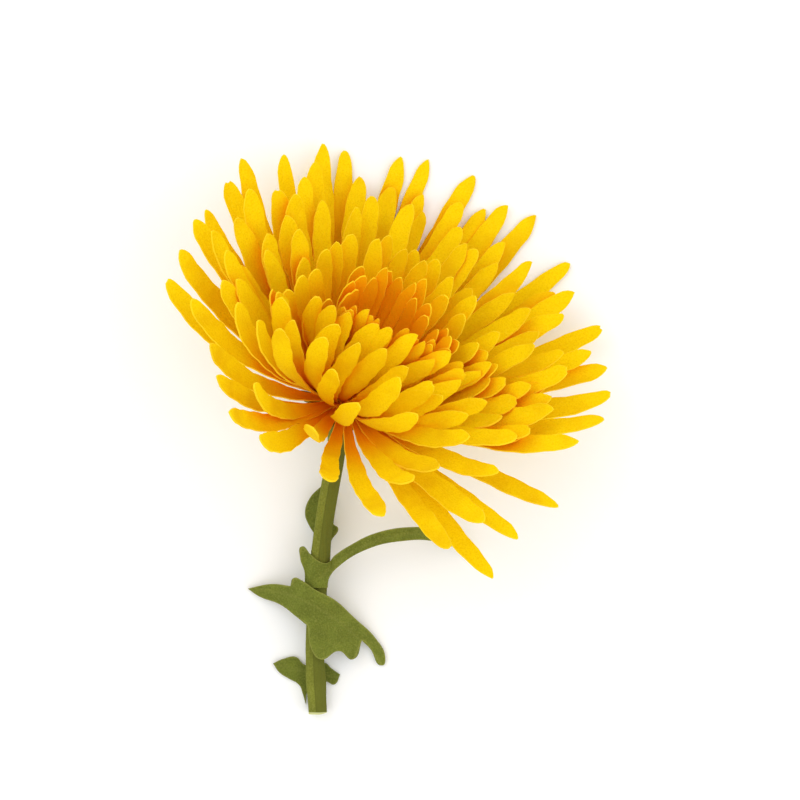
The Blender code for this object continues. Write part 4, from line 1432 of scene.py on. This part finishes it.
class FLOWER_OT_involucre(bpy.types.Operator):
    """Build the green cup and its rows of bracts"""

    bl_idname = "flower.involucre"
    bl_label = "Involucre"

    def execute(self, context):
        sizes = context.scene.bloom_sizes
        material = material_for("bract", context)
        values = {
            "Columns": 7, "Rows": 9, "Root width": 1.0, "Full width at": 0.05, "Taper": 0.55,
            "Round tip": 1.6 * MM, "Channel": 0.2, "Ripple": 0.0,
        }
        bracts = blades("bracts", bract_rows(), values, sizes.bract_thickness, material)
        finish_piece(bracts, "bract_green", "involucre")
        cup = turned_piece("cup", CUP_PROFILE, CUP_SIDES, head_frame(), material)
        finish_piece(cup, "bract_green", "involucre")
        return {"FINISHED"}


class FLOWER_OT_stem(bpy.types.Operator):
    """Build the ribbed stem with its two nodes and its cut end"""

    bl_idname = "flower.stem"
    bl_label = "Stem"

    def execute(self, context):
        material = material_for("stem", context)
        stem = stem_tube("ribbed_stem", context.scene.green_sizes, 0.0, material)
        finish_piece(stem, "stem_green", "stem")
        return {"FINISHED"}


class FLOWER_OT_leaves(bpy.types.Operator):
    """Build the four leaves, each cut to its outline and raised along its veins"""

    bl_idname = "flower.leaves"
    bl_label = "Leaves"

    def execute(self, context):
        sizes = context.scene.green_sizes
        material = material_for("leaf", context)
        cutter = stem_tube("stem_cutter", sizes, STEM_ROOM, material)
        leaves = (
            ("lobed_leaf", "leaf_lobed", LOBED_OUTLINE, LOBED_VEINS, lobed_height),
            ("arching_leaf", "leaf_arching", ARCHING_OUTLINE, ARCHING_VEINS, arching_height),
            ("behind_leaf", "leaf_behind", BEHIND_OUTLINE, BEHIND_VEINS, behind_height),
            ("lower_leaf", "leaf_lower", LOWER_OUTLINE, LOWER_VEINS, lower_height),
        )
        for name, node, outline, veins, height_rule in leaves:
            leaf = make_leaf(name, outline, veins, height_rule, sizes, cutter, material)
            finish_piece(leaf, "leaf_green", node)
        bpy.data.objects.remove(cutter, do_unlink=True)
        return {"FINISHED"}


def add_area_light(name, place, size, energy):
    """A round soft light that looks at the flower."""
    data = bpy.data.lights.new(name, "AREA")
    data.shape = "DISK"
    data.size = size
    data.energy = energy
    light = new_object(name, data)
    light.location = place
    light.rotation_euler = (-Vector(place)).to_track_quat("-Z", "Y").to_euler()


class FLOWER_OT_stage(bpy.types.Operator):
    """Set up the pale floor, the soft light and the camera"""

    bl_idname = "flower.stage"
    bl_label = "Stage"

    def execute(self, context):
        bm = bmesh.new()
        bmesh.ops.create_grid(bm, x_segments=1, y_segments=1, size=FLOOR_SIZE / 2)
        mesh = mesh_from(bm, "floor")
        mesh.materials.append(material_for("floor", context))
        new_object("floor", mesh)
        for light in LIGHTS:
            add_area_light(*light)
        world = bpy.data.worlds.new("studio")
        world.use_nodes = True
        background = world.node_tree.nodes["Background"]
        background.inputs["Color"].default_value = (1.0, 1.0, 1.0, 1.0)
        background.inputs["Strength"].default_value = SKY_STRENGTH
        context.scene.world = world
        context.scene.view_settings.view_transform = "Standard"
        data = bpy.data.cameras.new("camera")
        data.sensor_width = SENSOR
        data.lens = SENSOR * CAMERA_HEIGHT / PHOTO_WIDTH
        data.clip_end = CLIP_END
        camera = new_object("camera", data)
        above = Vector((0.0, 0.0, CAMERA_LEVEL + CAMERA_HEIGHT))
        camera.location = CAMERA_MIDDLE - CENTRE + above
        context.scene.camera = camera
        return {"FINISHED"}


class FLOWER_PT_panel(bpy.types.Panel):
    """Lists the pieces of the flower and what can be changed"""

    bl_label = "Spider chrysanthemum"
    bl_idname = "FLOWER_PT_panel"
    bl_space_type = "VIEW_3D"
    bl_region_type = "UI"
    bl_category = "Flower"

    def draw(self, context):
        layout = self.layout
        for group in ("bloom_sizes", "green_sizes", "flower_colours"):
            settings = getattr(context.scene, group)
            box = layout.box()
            for name in settings.bl_rna.properties.keys():
                if name not in ("rna_type", "name"):
                    box.prop(settings, name)
        for operator in OPERATORS:
            layout.operator(operator.bl_idname)


OPERATORS = (
    FLOWER_OT_petals, FLOWER_OT_disc, FLOWER_OT_involucre, FLOWER_OT_stem,
    FLOWER_OT_leaves, FLOWER_OT_stage,
)
CLASSES = (BloomSizes, GreenSizes, FlowerColours, *OPERATORS, FLOWER_PT_panel)


def register():
    for kind in CLASSES:
        bpy.utils.register_class(kind)
    bpy.types.Scene.bloom_sizes = PointerProperty(type=BloomSizes)
    bpy.types.Scene.green_sizes = PointerProperty(type=GreenSizes)
    bpy.types.Scene.flower_colours = PointerProperty(type=FlowerColours)


def unregister():
    del bpy.types.Scene.flower_colours
    del bpy.types.Scene.green_sizes
    del bpy.types.Scene.bloom_sizes
    for kind in reversed(CLASSES):
        bpy.utils.unregister_class(kind)


def main():
    register()
    bpy.ops.flower.petals()
    bpy.ops.flower.disc()
    bpy.ops.flower.involucre()
    bpy.ops.flower.stem()
    bpy.ops.flower.leaves()
    bpy.ops.flower.stage()


if __name__ == "__main__":
    main()
